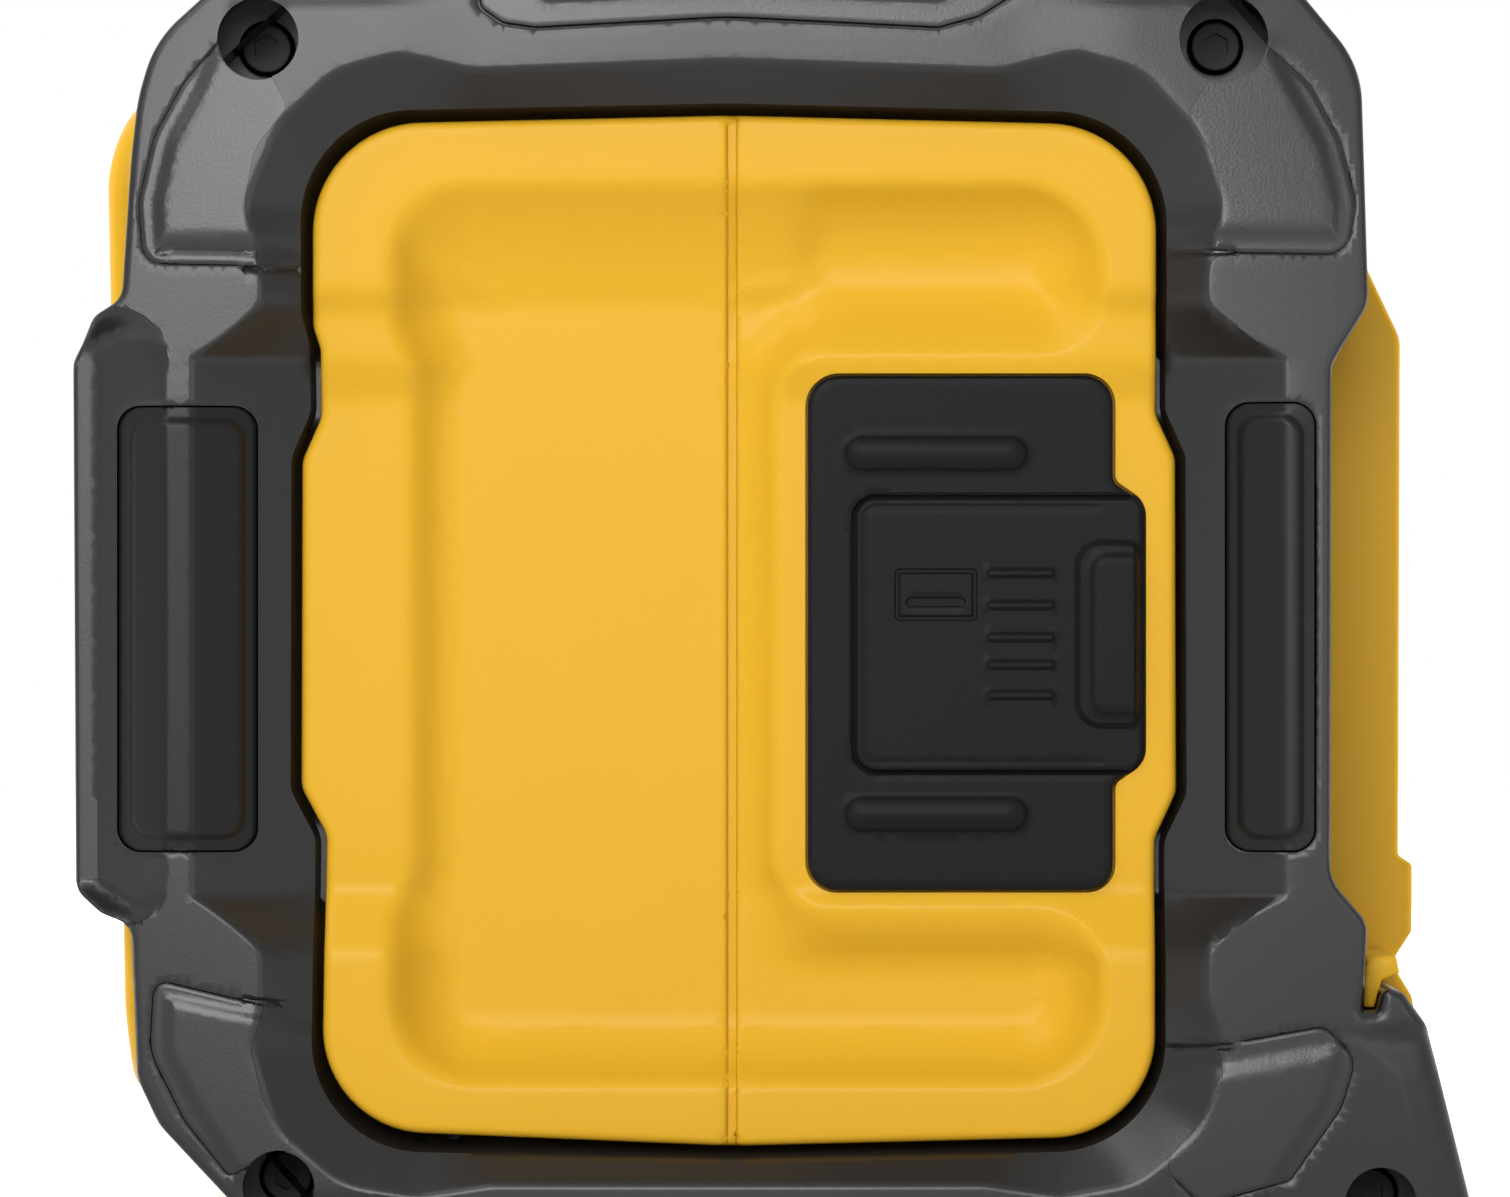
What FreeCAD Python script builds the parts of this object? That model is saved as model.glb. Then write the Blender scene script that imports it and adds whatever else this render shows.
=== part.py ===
import FreeCAD, Part
import math
import os

V = FreeCAD.Vector

# Jobsite speaker. Millimetres. X runs along the length, -Y is the front,
# +Y the rear, Z up. Origin: middle of the footprint, on the ground.

# Overall size
LENGTH = 262.0
FOOT_RISE = 2.0

# Fits
SEAT_GAP = 0.2
INLAY_GAP = 0.3
MOVE_GAP = 0.35

# End frames
FRAME_WIDTH = 34.0
WALL = 2.6
FRAME_EDGE_ROUND = 2.0
CREST_ROUND = 1.2
CORE_EDGE_ROUND = 0.8
TOWER_R = 6.3
PAD_DEPTH = 3.4
TOP_PAD_DEPTH = 2.4
GRIP_DEPTH = 9.0
GRIP_LIP_DROP = 1.2
FOOT_MARGIN = 4.0
FOOT_SPANS = ((-46.0, -20.0), (42.0, 70.0))

# Levels along X, counted inward from the end of the frame
RIM_DROP = 6.0
BAND_DROP = 8.7
SCOOP_DROP = 11.5
SLOPE_DROP = 8.7
SHOULDER_DROP = 13.0

# Clamshell
SEAM_Y = -4.8
SEAM_GAP = 0.2

# Cover panels on both ends
PANEL_PROUD = 0.8
PANEL_SUNK = 2.0
BAR_PROUD = 0.9
FLAP_RIM_DEPTH = 2.2
POCKET_DROP = 17.5
PORT_MOUTH = (11.8, 33.4, 56.8, 76.2)
PORT_Z = 66.5
LINE_Y = 17.6
LINE_BORE_R = 1.8
LINE_NOSE_R = 3.0
POWER_Y = 27.0
POWER_BORE_R = 2.8
POWER_NOSE_R = 5.0

# Front
BEZEL_FRONT_Y = -72.3
BAFFLE_Y = -66.5
GRILLE_THICK = 1.2
GRILLE_FRONT_Y = -71.2
HOLE_R = 1.7
HOLE_PITCH = 5.2

# Drivers
DRIVER_X = 46.0
DRIVER_Z = 71.0
FLANGE_R = 37.0
FLANGE_THICK = 1.8
CONE_R = 25.0
COIL_R = 9.2
PAPER = 0.8
MAGNET_R = 25.0

# Control panel
PANEL_TOP_Z = 140.2
CONTROL_HALF_X = 72.0
CONTROL_Y0 = -24.0
CONTROL_Y1 = 16.0
BUTTON_PITCH = 18.0
BUTTON_X = 13.0
BUTTON_Y = 16.0
BUTTON_TRAVEL = 0.8
BUTTON_PROUD = 1.2
LENS_R = 1.3

# Battery dock
BAY_HALF_X = 42.0
BAY_FLOOR_Y = 57.0
BAY_BOTTOM_Z = 34.0
RAIL_IN = 24.0
RAIL_WEB = 27.0
RAIL_OUT = 31.0
BLADES = 5
BLADE_PITCH = 7.0
DOCK_PLATE = 2.4
WIRE_R = 0.8

# Screws
SHANK_R = 1.5
HEAD_R = 3.0
HEAD_H = 2.4
SCREW_LENGTH = 18.0

# Levels and limits that follow from the sizes above
END_X = LENGTH / 2
FRAME_X = END_X - FRAME_WIDTH
CORE_X = FRAME_X - MOVE_GAP
SHOULDER_X = END_X - SHOULDER_DROP
SLOPE_X = END_X - SLOPE_DROP
RIM_X = END_X - RIM_DROP
BAND_X = END_X - BAND_DROP
SCOOP_X = END_X - SCOOP_DROP
POCKET_X = END_X - POCKET_DROP

# Outlines seen along X: (y, z, corner radius)
FRAME_LINE = [
    (-50.3, 142.0, 8), (-64.8, 128.6, 6), (-67.3, 122.6, 4), (-68.6, 99.8, 4),
    (-67.7, 36.5, 4), (-66.9, 19.8, 6), (-57.8, 8.0, 4), (-53.4, FOOT_RISE, 3),
    (74.4, FOOT_RISE, 1.5),
    (68.6, 23.6, 4), (66.0, 29.0, 3), (61.6, 29.0, 1.2), (61.8, 36.2, 3),
    (58.0, 40.6, 4), (58.2, 94.9, 4), (62.0, 101.2, 4), (61.4, 126.4, 4),
    (47.4, 142.0, 8)]
SPIGOT_LINE = [
    (-47.5, 137.8, 6), (-61.8, 124.8, 5), (-64.2, 117.0, 4), (-63.6, 27.0, 4),
    (-60.4, 18.0, 4), (-49.5, 6.0, 4), (52.0, 6.0, 4), (54.2, 40.0, 4),
    (54.2, 97.0, 4), (57.6, 104.0, 4), (57.2, 124.5, 5), (45.5, 137.8, 6)]
CORE_LINE = [
    (-49.5, 139.4, 7), (-63.2, 127.2, 6), (-66.5, 120.0, 4), (-65.8, 23.0, 5),
    (-62.6, 15.0, 5), (-51.0, 4.2, 5), (72.4, 4.2, 2), (68.6, 27.4, 2),
    (66.4, 31.0, 1.2), (68.6, 34.4, 1.2), (68.6, 41.6, 0.6), (67.1, 42.6, 0.6),
    (67.1, 96.0, 4), (61.6, 107.4, 3), (60.6, 126.4, 5), (46.8, 139.4, 7)]
WINDOW_LINE = [
    (-48.4, 120.2, 9.5), (-48.0, 89.3, 3), (-50.0, 84.7, 3), (-50.1, 50.3, 3),
    (-47.5, 45.3, 3), (-47.8, 13.6, 10), (-4.8, 12.9, 60), (39.8, 13.6, 10),
    (39.7, 45.3, 3), (41.9, 50.2, 3), (41.8, 85.2, 3), (39.8, 89.8, 3),
    (39.8, 120.2, 9.5), (-5.0, 121.1, 60)]
SLOPE_TOP = [
    (-55.0, 126.6, 15), (-55.0, 102.6, 3), (-61.5, 94.8, 3), (-61.5, 38.0, 3),
    (-54.9, 31.6, 3), (-54.9, 8.9, 15), (46.2, 8.9, 15), (46.0, 31.8, 3),
    (53.4, 39.0, 3), (53.4, 94.2, 3), (45.6, 102.4, 3), (46.4, 126.6, 15)]
SLOPE_FOOT = [
    (-49.3, 121.6, 10), (-48.9, 90.0, 3), (-50.9, 85.0, 3), (-51.0, 50.1, 3),
    (-48.4, 45.0, 3), (-48.7, 12.3, 10.5), (40.7, 12.3, 10.5), (40.6, 45.0, 3),
    (42.8, 50.0, 3), (42.7, 85.4, 3), (40.7, 90.1, 3), (40.7, 121.6, 10)]
SCOOP_TOP = [
    (-40.4, 114.0, 8), (-40.4, 99.0, 3), (-38.4, 94.5, 3), (-38.4, 41.5, 3),
    (-40.6, 36.5, 3), (-40.6, 19.2, 9), (34.0, 19.2, 9), (34.0, 37.2, 7),
    (-0.3, 37.2, 6), (-0.3, 96.6, 6), (34.0, 96.6, 6.5), (34.0, 114.0, 9)]
SCOOP_FLOOR = [
    (-35.4, 109.0, 5), (-35.6, 98.0, 3), (-35.2, 94.0, 3), (-35.2, 42.0, 3),
    (-35.6, 37.0, 3), (-35.4, 24.6, 5), (29.5, 24.6, 5), (29.5, 34.8, 3.4),
    (-2.2, 34.8, 5.4), (-2.2, 99.0, 5.4), (29.5, 99.0, 3.2), (29.5, 109.0, 5)]
PANEL_LINE = [
    (3.3, 93.8, 2.7), (3.3, 39.5, 2.7), (35.5, 39.5, 2.7), (35.5, 51.0, 1.6),
    (38.8, 54.5, 2.2), (38.8, 79.2, 2.2), (35.5, 83.2, 1.6), (35.5, 93.8, 2.7)]
FLAP_LINE = [
    (8.3, 80.9, 2.2), (8.3, 52.1, 2.2), (36.5, 52.1, 1.8), (38.6, 54.6, 1.8),
    (38.6, 79.1, 1.8), (36.5, 80.9, 1.8)]
TAB_LINE = [(31.8, 76.5, 2.2), (31.8, 56.5, 2.2), (38.4, 56.5, 1.2), (38.4, 76.5, 1.2)]
FRONT_PAD_TOP = [
    (-58.4, 128.6, 1), (-62.1, 124.2, 6), (-65.2, 118.6, 8), (-67.0, 112.0, 4),
    (-65.9, 107.1, 1.6), (-54.9, 107.1, 0.6), (-56.2, 112.0, 2), (-54.9, 117.6, 3),
    (-51.4, 122.2, 1), (-54.0, 123.4, 2)]
REAR_PAD_TOP = [
    (50.9, 128.8, 1), (56.1, 124.3, 6), (59.0, 118.6, 8), (60.8, 112.0, 4),
    (59.6, 107.2, 1.6), (44.6, 107.2, 0.6), (46.9, 111.5, 2), (46.2, 116.6, 3),
    (42.6, 122.0, 1), (45.6, 123.4, 2)]
FRONT_PAD_LOW = [
    (-64.6, 29.6, 1.6), (-53.8, 27.0, 0.6), (-55.3, 22.8, 2), (-54.2, 17.4, 3),
    (-50.6, 12.6, 1), (-53.2, 11.6, 1), (-57.6, 9.6, 1), (-62.0, 15.4, 5),
    (-65.2, 21.0, 4)]
REAR_PAD_LOW = [
    (41.8, 23.2, 0.8), (57.8, 25.2, 1.6), (60.6, 22.0, 3), (59.4, 17.0, 6),
    (53.8, 9.2, 1), (44.6, 6.4, 1), (40.0, 10.6, 2), (45.4, 16.0, 3),
    (45.9, 20.0, 2)]
TOP_PAD_LINE = [
    (-31.5, 150.0, 1), (-31.5, 132.4, 1.5), (-28.8, 130.7, 2), (-26.4, 130.1, 1),
    (20.8, 130.1, 1), (24.0, 130.9, 2), (27.4, 133.0, 1.5), (27.4, 150.0, 1)]
BUMPER_LINE = [
    (-66.0, 100.0, 0.6), (-71.6, 99.4, 2), (-74.3, 94.4, 3), (-73.6, 41.6, 3),
    (-70.4, 37.6, 2), (-66.0, 36.4, 0.6)]
BUMPER_SECTION = [
    (-66.0, FRAME_X + 2), (-71.8, FRAME_X + 2), (-74.6, FRAME_X + 5),
    (-74.6, END_X - 8.4), (-73.6, END_X - 7.2), (-71.7, END_X - 6.6),
    (-64.1, END_X), (-60.0, END_X), (-60.0, FRAME_X + 2)]
FLANK_LINE = [
    (-80.0, 100.6, 1), (-66.4, 99.2, 2), (-63.9, 95.0, 2), (-63.9, 41.0, 2),
    (-66.4, 37.0, 2), (-80.0, 36.0, 1)]
FLANK_SECTION = [
    (-80.0, END_X - 6.6), (-71.7, END_X - 6.6), (-64.1, END_X), (-64.1, END_X + 5),
    (-80.0, END_X + 5)]
FRONT_GRIP = (-69.6, -53.4, 43.3, 90.8)
REAR_GRIP = (47.2, 56.7, 43.6, 91.0)
GRIP_EDGE = 1.6
END_SCREWS = [(-54.6, 129.2, 4.3), (47.0, 129.4, 4.6), (-52.4, 8.4, 3.8), (63.6, 6.6, 3.8)]
SCREW_SEAT_X = END_X - 27.0
CLAM_SCREWS = [(78.0, 132.5), (-78.0, 132.5), (78.0, 9.0), (-78.0, 9.0)]
CLAM_SEAT_Y = 6.0
SHORT_SHANK_R = 1.2
SHORT_HEAD_R = 2.2
SHORT_HEAD_H = 1.2
SHORT_LENGTH = 6.0
DOCK_SCREWS = [(14, 108), (-14, 108), (14, 76), (-14, 76)]
BOARD_SCREWS = [(38, 44), (-38, 44), (38, 102), (-38, 102)]
BOARD_Y = 45.6


def box(x0, x1, y0, y1, z0, z1):
    return Part.makeBox(x1 - x0, y1 - y0, z1 - z0, V(x0, y0, z0))


def rod(r, start, axis, length):
    return Part.makeCylinder(r, length, V(*start), V(*axis))


def fuse(shapes):
    result = shapes[0]
    if len(shapes) > 1:
        result = shapes[0].fuse(list(shapes[1:]))
    return result.removeSplitter()


def rounded_wire(points, radii):
    """Closed wire through the points with each corner rounded."""
    count = len(points)
    corners = []
    for i in range(count):
        p = points[i]
        a = points[i - 1]
        b = points[(i + 1) % count]
        into = (p - a).normalize()
        out = (b - p).normalize()
        turn = into.getAngle(out)
        cut = 0
        if radii[i] > 0 and turn > 1e-3:
            cut = min(radii[i] * math.tan(turn / 2), 0.48 * min((p - a).Length, (b - p).Length))
        corners.append((p - into * cut, p, p + out * cut, turn, cut))
    edges = []
    for i in range(count):
        first, p, last, turn, cut = corners[i]
        nxt = corners[(i + 1) % count][0]
        if cut > 1e-6:
            r = cut / math.tan(turn / 2)
            inward = ((first - p) + (last - p)).normalize()
            middle = p + inward * (r / math.cos(turn / 2) - r)
            edges.append(Part.Arc(first, middle, last).toShape())
        edges.append(Part.makeLine(last, nxt))
    return Part.Wire(edges)


def line_x(line, x):
    return rounded_wire([V(x, p[0], p[1]) for p in line], [p[2] for p in line])


def prism_x(line, x0, x1):
    return Part.Face(line_x(line, x0)).extrude(V(x1 - x0, 0, 0))


def grown_x(line, amount, x0, x1):
    face = Part.Face(line_x(line, x0)).makeOffset2D(amount)
    return face.extrude(V(x1 - x0, 0, 0))


def loft_x(line0, x0, line1, x1):
    """Solid between two outlines with the same number of corners."""
    low = line_x(line0, x0)
    high = line_x(line1, x1)
    faces = [Part.Face(low), Part.Face(high)]
    faces += [Part.makeRuledSurface(a, b) for a, b in zip(low.OrderedEdges, high.OrderedEdges)]
    shell = Part.makeShell(faces)
    shell.sewShape()
    solid = Part.Solid(shell)
    if solid.Volume < 0:
        solid.reverse()
    return solid


def prism_z(points, z0, z1):
    wire = Part.makePolygon([V(p[1], p[0], z0) for p in points + points[:1]])
    return Part.Face(wire).extrude(V(0, 0, z1 - z0))


def rounded_box_y(x0, x1, z0, z1, r, y0, y1):
    pts = [V(x0, y0, z0), V(x1, y0, z0), V(x1, y0, z1), V(x0, y0, z1)]
    return Part.Face(rounded_wire(pts, [r] * 4)).extrude(V(0, y1 - y0, 0))


def rounded_box_z(x0, x1, y0, y1, r, z0, z1):
    pts = [V(x0, y0, z0), V(x1, y0, z0), V(x1, y1, z0), V(x0, y1, z0)]
    return Part.Face(rounded_wire(pts, [r] * 4)).extrude(V(0, 0, z1 - z0))


def rounded_box_x(y0, y1, z0, z1, r, x0, x1):
    return prism_x([(y0, z0, r), (y1, z0, r), (y1, z1, r), (y0, z1, r)], x0, x1)


def revolve_y(points, centre_x, centre_z):
    """Ring from (radius, y) points turned about an axis along Y."""
    wire = Part.makePolygon([V(centre_x + r, y, centre_z) for r, y in points + points[:1]])
    return Part.Face(wire).revolve(V(centre_x, 0, centre_z), V(0, 1, 0), 360)


def mirrored(shape):
    return shape.mirror(V(0, 0, 0), V(1, 0, 0))


def rounded_edges(shape, radius, chosen):
    edges = [e for e in shape.Edges if chosen(e)]
    return shape.makeFillet(radius, edges)


def at_x(x):
    return lambda e: abs(e.BoundBox.XMin - x) < 1e-4 and abs(e.BoundBox.XMax - x) < 1e-4


def screw(seat, axis):
    """Screw with its head seated at a point; the axis points along the shank."""
    back = V(*axis) * -HEAD_H
    head = rod(HEAD_R, tuple(V(*seat) + back), axis, HEAD_H)
    crown = V(*seat) + back
    head = head.makeFillet(0.6, [e for e in head.Edges if e.CenterOfMass.distanceToPoint(crown) < 0.01])
    shank = rod(SHANK_R, tuple(V(*seat) - V(*axis) * 0.2), axis, SCREW_LENGTH)
    socket = hexagon(tuple(V(*seat) + back), axis, 1.5, 1.6)
    return fuse([head, shank]).cut(socket)


def short_screw(x, y, z):
    """Small screw along Y with its head seated at the point."""
    head = rod(SHORT_HEAD_R, (x, y - SHORT_HEAD_H, z), (0, 1, 0), SHORT_HEAD_H)
    shank = rod(SHORT_SHANK_R, (x, y - 0.2, z), (0, 1, 0), SHORT_LENGTH)
    return fuse([head, shank]).cut(hexagon((x, y - SHORT_HEAD_H, z), (0, 1, 0), 0.9, 0.7))


def hexagon(centre, axis, size, depth):
    centre = V(*centre)
    axis = V(*axis)
    side = V(0, 0, 1) if abs(axis.z) < 0.9 else V(1, 0, 0)
    other = axis.cross(side)
    turns = [k * math.pi / 3 for k in range(7)]
    ring = [centre + side * (size * math.cos(a)) + other * (size * math.sin(a)) for a in turns]
    return Part.Face(Part.makePolygon(ring)).extrude(axis * depth)


# End frame, its inlays and its screws
def frame_envelope():
    body = prism_x(FRAME_LINE, FRAME_X, END_X)
    body = rounded_edges(body, FRAME_EDGE_ROUND, at_x(END_X))
    bumper = prism_z(BUMPER_SECTION, 30, 110).common(prism_x(BUMPER_LINE, FRAME_X, END_X))
    flank_cut = prism_z(FLANK_SECTION, 30, 110).common(prism_x(FLANK_LINE, FRAME_X, END_X + 5))
    body = body.cut(flank_cut).fuse(bumper)
    body = body.cut(loft_x(SLOPE_TOP, END_X, SLOPE_FOOT, SLOPE_X)).removeSplitter()
    return rounded_edges(body, CREST_ROUND, slope_crest)


def slope_crest(edge):
    """Edges between the end face and the slope down to the window."""
    b = edge.BoundBox
    flat = abs(b.XMin - END_X) < 1e-3 and abs(b.XMax - END_X) < 1e-3
    return flat and b.YMin > -62 and b.YMax < 54 and b.ZMin > 8 and b.ZMax < 127


def towers(radius, x0, x1):
    return [rod(radius, (x0, y, z), (1, 0, 0), x1 - x0) for y, z, r in END_SCREWS[:3]]


def screw_recesses():
    cuts = []
    for y, z, r in END_SCREWS:
        cuts.append(rod(r, (SCREW_SEAT_X, y, z), (1, 0, 0), FRAME_WIDTH))
        cuts.append(rod(SHANK_R + 0.05, (FRAME_X - 1, y, z), (1, 0, 0), FRAME_WIDTH))
    return cuts


def grip_shapes(envelope, area):
    y0, y1, z0, z1 = area
    floor_x = END_X - GRIP_DEPTH
    pocket = rounded_box_x(y0, y1, z0, z1, 2.5, floor_x, END_X + 1)
    bodies = []
    for inset, corner in ((INLAY_GAP, 2.2), (GRIP_EDGE, 2.0)):
        bodies.append(rounded_box_x(y0 + inset, y1 - inset, z0 + inset, z1 - inset, corner, floor_x, END_X + 1))
    whole, inner = bodies
    lowered = envelope.copy()
    lowered.translate(V(-GRIP_LIP_DROP, 0, 0))
    insert = fuse([lowered.common(whole), envelope.common(inner)])
    return pocket, insert


def end_frame_set():
    """Frame, corner pads, grips and top pad of the +X end."""
    envelope = frame_envelope()
    parts = {}
    pockets = []
    pads = {"pad_front_top": FRONT_PAD_TOP, "pad_rear_top": REAR_PAD_TOP,
            "pad_front_low": FRONT_PAD_LOW, "pad_rear_low": REAR_PAD_LOW}
    recesses = screw_recesses()
    clear = [rod(r + 0.7, (SCREW_SEAT_X, y, z), (1, 0, 0), FRAME_WIDTH) for y, z, r in END_SCREWS]
    pad_floor = END_X - PAD_DEPTH
    for name, line in pads.items():
        pad = envelope.common(grown_x(line, -INLAY_GAP, pad_floor, END_X + 1))
        parts[name] = pad.cut(clear)
        collars = [rod(r + 0.4, (FRAME_X, y, z), (1, 0, 0), FRAME_WIDTH) for y, z, r in END_SCREWS]
        pockets.append(prism_x(line, pad_floor, END_X + 1).cut(collars))
    for name, area in (("grip_front", FRONT_GRIP), ("grip_rear", REAR_GRIP)):
        pocket, insert = grip_shapes(envelope, area)
        parts[name] = insert
        pockets.append(pocket)

    top_z = envelope.BoundBox.ZMax
    shell = prism_x(TOP_PAD_LINE, FRAME_X + 6, END_X + 1)
    keep = prism_x(TOP_PAD_LINE, FRAME_X, END_X - TOP_PAD_DEPTH)
    keep = keep.common(box(FRAME_X, END_X, -60, 60, 100, top_z - TOP_PAD_DEPTH))
    pockets.append(shell.cut(keep))
    pad = grown_x(TOP_PAD_LINE, -INLAY_GAP, FRAME_X + 6 + INLAY_GAP, END_X + 1).cut(keep)
    parts["top_pad"] = envelope.common(pad)

    cavity = grown_x(SPIGOT_LINE, SEAT_GAP, FRAME_X - 1, SHOULDER_X + SEAT_GAP)
    cavity = cavity.cut(towers(TOWER_R, FRAME_X - 2, END_X))
    window = prism_x(SLOPE_FOOT, SHOULDER_X - 1, END_X)
    frame = envelope.cut([cavity, window] + recesses + pockets)
    for y0, y1 in FOOT_SPANS:
        seat = rounded_box_z(FRAME_X + FOOT_MARGIN, END_X - FOOT_MARGIN, y0, y1, 3, 0, FOOT_RISE + 0.6)
        frame = frame.cut(seat)
    parts["end_frame"] = frame.removeSplitter()
    return parts


def end_screw_set():
    shapes = [screw((SCREW_SEAT_X, y, z), (-1, 0, 0)) for y, z, r in END_SCREWS]
    return shapes + [mirrored(s) for s in shapes]


def feet():
    pads = []
    inset = FOOT_MARGIN + SEAT_GAP
    for y0, y1 in FOOT_SPANS:
        pad = rounded_box_z(FRAME_X + inset, END_X - inset, y0 + SEAT_GAP, y1 - SEAT_GAP, 2.8, 0, FOOT_RISE + 0.6)
        pad = rounded_edges(pad, 0.8, lambda e: e.BoundBox.ZMax < 0.01)
        pads += [pad, mirrored(pad)]
    return pads


# Yellow housing
def end_boss():
    """The part of the end wall that stands in the window of the frame."""
    boss = prism_x(WINDOW_LINE, SHOULDER_X - 6, RIM_X)
    boss = rounded_edges(boss, 1.0, at_x(RIM_X))
    trapezium = [(RIM_X + 1, 103.0), (BAND_X, 96.6), (BAND_X, 38.6), (RIM_X + 1, 32.2), (RIM_X + 1, 103.0)]
    band = Part.Face(Part.makePolygon([V(x, -60, z) for x, z in trapezium])).extrude(V(0, 120, 0))
    boss = boss.cut(band)
    scoop = loft_x(SCOOP_FLOOR, SCOOP_X, SCOOP_TOP, RIM_X + 0.2)
    boss = boss.cut(scoop)
    return boss.removeSplitter()


def housing_envelope():
    core = prism_x(CORE_LINE, -CORE_X, CORE_X)
    core = rounded_edges(core, CORE_EDGE_ROUND, lambda e: e.BoundBox.XLength < 1e-3)
    bezel = rounded_box_y(-95, 95, 16.4, 124.9, 10, BEZEL_FRONT_Y, BAFFLE_Y + 3)
    bezel = rounded_edges(bezel, 2.4, lambda e: e.BoundBox.YMax < BEZEL_FRONT_Y + 0.01)
    spigot = prism_x(SPIGOT_LINE, CORE_X - 4, SHOULDER_X).cut(towers(TOWER_R + SEAT_GAP, CORE_X, END_X))
    boss = end_boss()
    return fuse([core, bezel, spigot, mirrored(spigot), boss, mirrored(boss)])


def housing_hollow():
    core = grown_x(CORE_LINE, -WALL, -CORE_X + WALL, CORE_X - WALL)
    spigot = grown_x(SPIGOT_LINE, -WALL, CORE_X - 8, SHOULDER_X - WALL)
    spigot = spigot.cut(towers(TOWER_R + SEAT_GAP + WALL, CORE_X - WALL, END_X))
    boss = grown_x(WINDOW_LINE, -WALL - 0.6, SHOULDER_X - 8, SCOOP_X - WALL)
    hollow = fuse([core, spigot, mirrored(spigot), boss, mirrored(boss)])
    solid = []
    bay = box(-BAY_HALF_X - WALL, BAY_HALF_X + WALL, BAY_FLOOR_Y - WALL, 90, BAY_BOTTOM_Z - WALL, 150)
    solid.append(bay)
    for y, z, r in END_SCREWS:
        post = rod(4.2, (CORE_X - 24, y, z), (1, 0, 0), 25)
        solid += [post, mirrored(post)]
    for x, z in CLAM_SCREWS:
        solid.append(rod(5.0, (x, -26, z), (0, 1, 0), 100))
    for x, z in BOARD_SCREWS:
        solid.append(rod(3.0, (x, BOARD_Y, z), (0, 1, 0), 12))
    for x, z in DOCK_SCREWS:
        solid.append(rod(3.0, (x, BAY_FLOOR_Y - 6, z), (0, 1, 0), 5))
    for y in (9.6, 33.2):
        solid.append(box(POCKET_X - 20, POCKET_X, y, y + 2.4, 58.6, 61.6))
    y0, y1, z0, z1 = PORT_MOUTH
    door_pocket = box(POCKET_X - 2.2, SHOULDER_X + 3, y0 - 2.2, y1 + 2.2, z0 - 2.2, z1 + 2.2)
    solid += [door_pocket, mirrored(door_pocket)]
    return hollow.cut(solid)


def driver_places():
    return [DRIVER_X, -DRIVER_X]


def housing_cuts():
    cuts = []
    cuts.append(box(-BAY_HALF_X, BAY_HALF_X, BAY_FLOOR_Y, 90, BAY_BOTTOM_Z, 150))
    seat = rounded_box_y(-88, 88, 23, 118, 6, BEZEL_FRONT_Y - 1, GRILLE_FRONT_Y + GRILLE_THICK)
    well = rounded_box_y(-85, 85, 26, 115, 5, BEZEL_FRONT_Y - 1, BAFFLE_Y)
    cuts += [seat, well]
    for x in driver_places():
        cuts.append(rod(FLANGE_R + SEAT_GAP, (x, BAFFLE_Y - 1, DRIVER_Z), (0, 1, 0), 1 + FLANGE_THICK))
        cuts.append(rod(FLANGE_R - 4.5, (x, BAFFLE_Y - 1, DRIVER_Z), (0, 1, 0), 12))
        for px, pz in driver_screw_places(x):
            cuts.append(rod(SHANK_R, (px, BAFFLE_Y, pz), (0, 1, 0), 9))
    cuts.append(rounded_box_z(-CONTROL_HALF_X - SEAT_GAP, CONTROL_HALF_X + SEAT_GAP, CONTROL_Y0 - SEAT_GAP,
                              CONTROL_Y1 + SEAT_GAP, 4, PANEL_TOP_Z - 2.8, 150))
    inside = CONTROL_HALF_X - 4
    cuts.append(box(-inside, inside, CONTROL_Y0 + 4, CONTROL_Y1 - 4, 130, 150))
    for y, z, r in END_SCREWS:
        hole = rod(SHANK_R + 0.02, (CORE_X - 22, y, z), (1, 0, 0), 40)
        cuts += [hole, mirrored(hole)]
    for x, z in CLAM_SCREWS:
        cuts.append(rod(HEAD_R + 0.5, (x, CLAM_SEAT_Y, z), (0, 1, 0), 90))
        cuts.append(rod(SHANK_R + 0.02, (x, CLAM_SEAT_Y - 24, z), (0, 1, 0), 30))
    for x, z in BOARD_SCREWS:
        cuts.append(rod(SHORT_SHANK_R + 0.02, (x, BOARD_Y - 1, z), (0, 1, 0), 7))
    for x, z in DOCK_SCREWS:
        cuts.append(rod(SHORT_SHANK_R + 0.02, (x, BAY_FLOOR_Y - 5, z), (0, 1, 0), 7))
    pocket = rounded_box_x(*PORT_MOUTH, 2.0, POCKET_X, END_X)
    seat = grown_x(PANEL_LINE, INLAY_GAP, BAND_X + PANEL_PROUD - PANEL_SUNK - 0.8, END_X)
    cuts += [pocket, mirrored(pocket), seat, mirrored(seat)]
    cuts.append(rounded_box_x(15.0, 29.2, 62.9, 70.1, 0.5, POCKET_X - 4, POCKET_X + 1))
    cuts.append(rod(LINE_NOSE_R + 0.1, (-POCKET_X - 1, LINE_Y, PORT_Z), (1, 0, 0), 6))
    cuts.append(rod(POWER_NOSE_R + 0.1, (-POCKET_X - 1, POWER_Y, PORT_Z), (1, 0, 0), 6))
    return cuts


def housings():
    body = housing_envelope().cut(housing_hollow()).cut(housing_cuts())
    groove = gasket_path(1.1)
    front = body.common(box(-200, 200, -100, SEAM_Y - SEAM_GAP / 2, -10, 200))
    rear = body.common(box(-200, 200, SEAM_Y + SEAM_GAP / 2, 100, -10, 200))
    front = biggest(front.cut(groove))
    rear = biggest(rear.cut(groove))
    return front, rear


def biggest(shape):
    return max(shape.Solids, key=lambda s: s.Volume)


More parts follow.
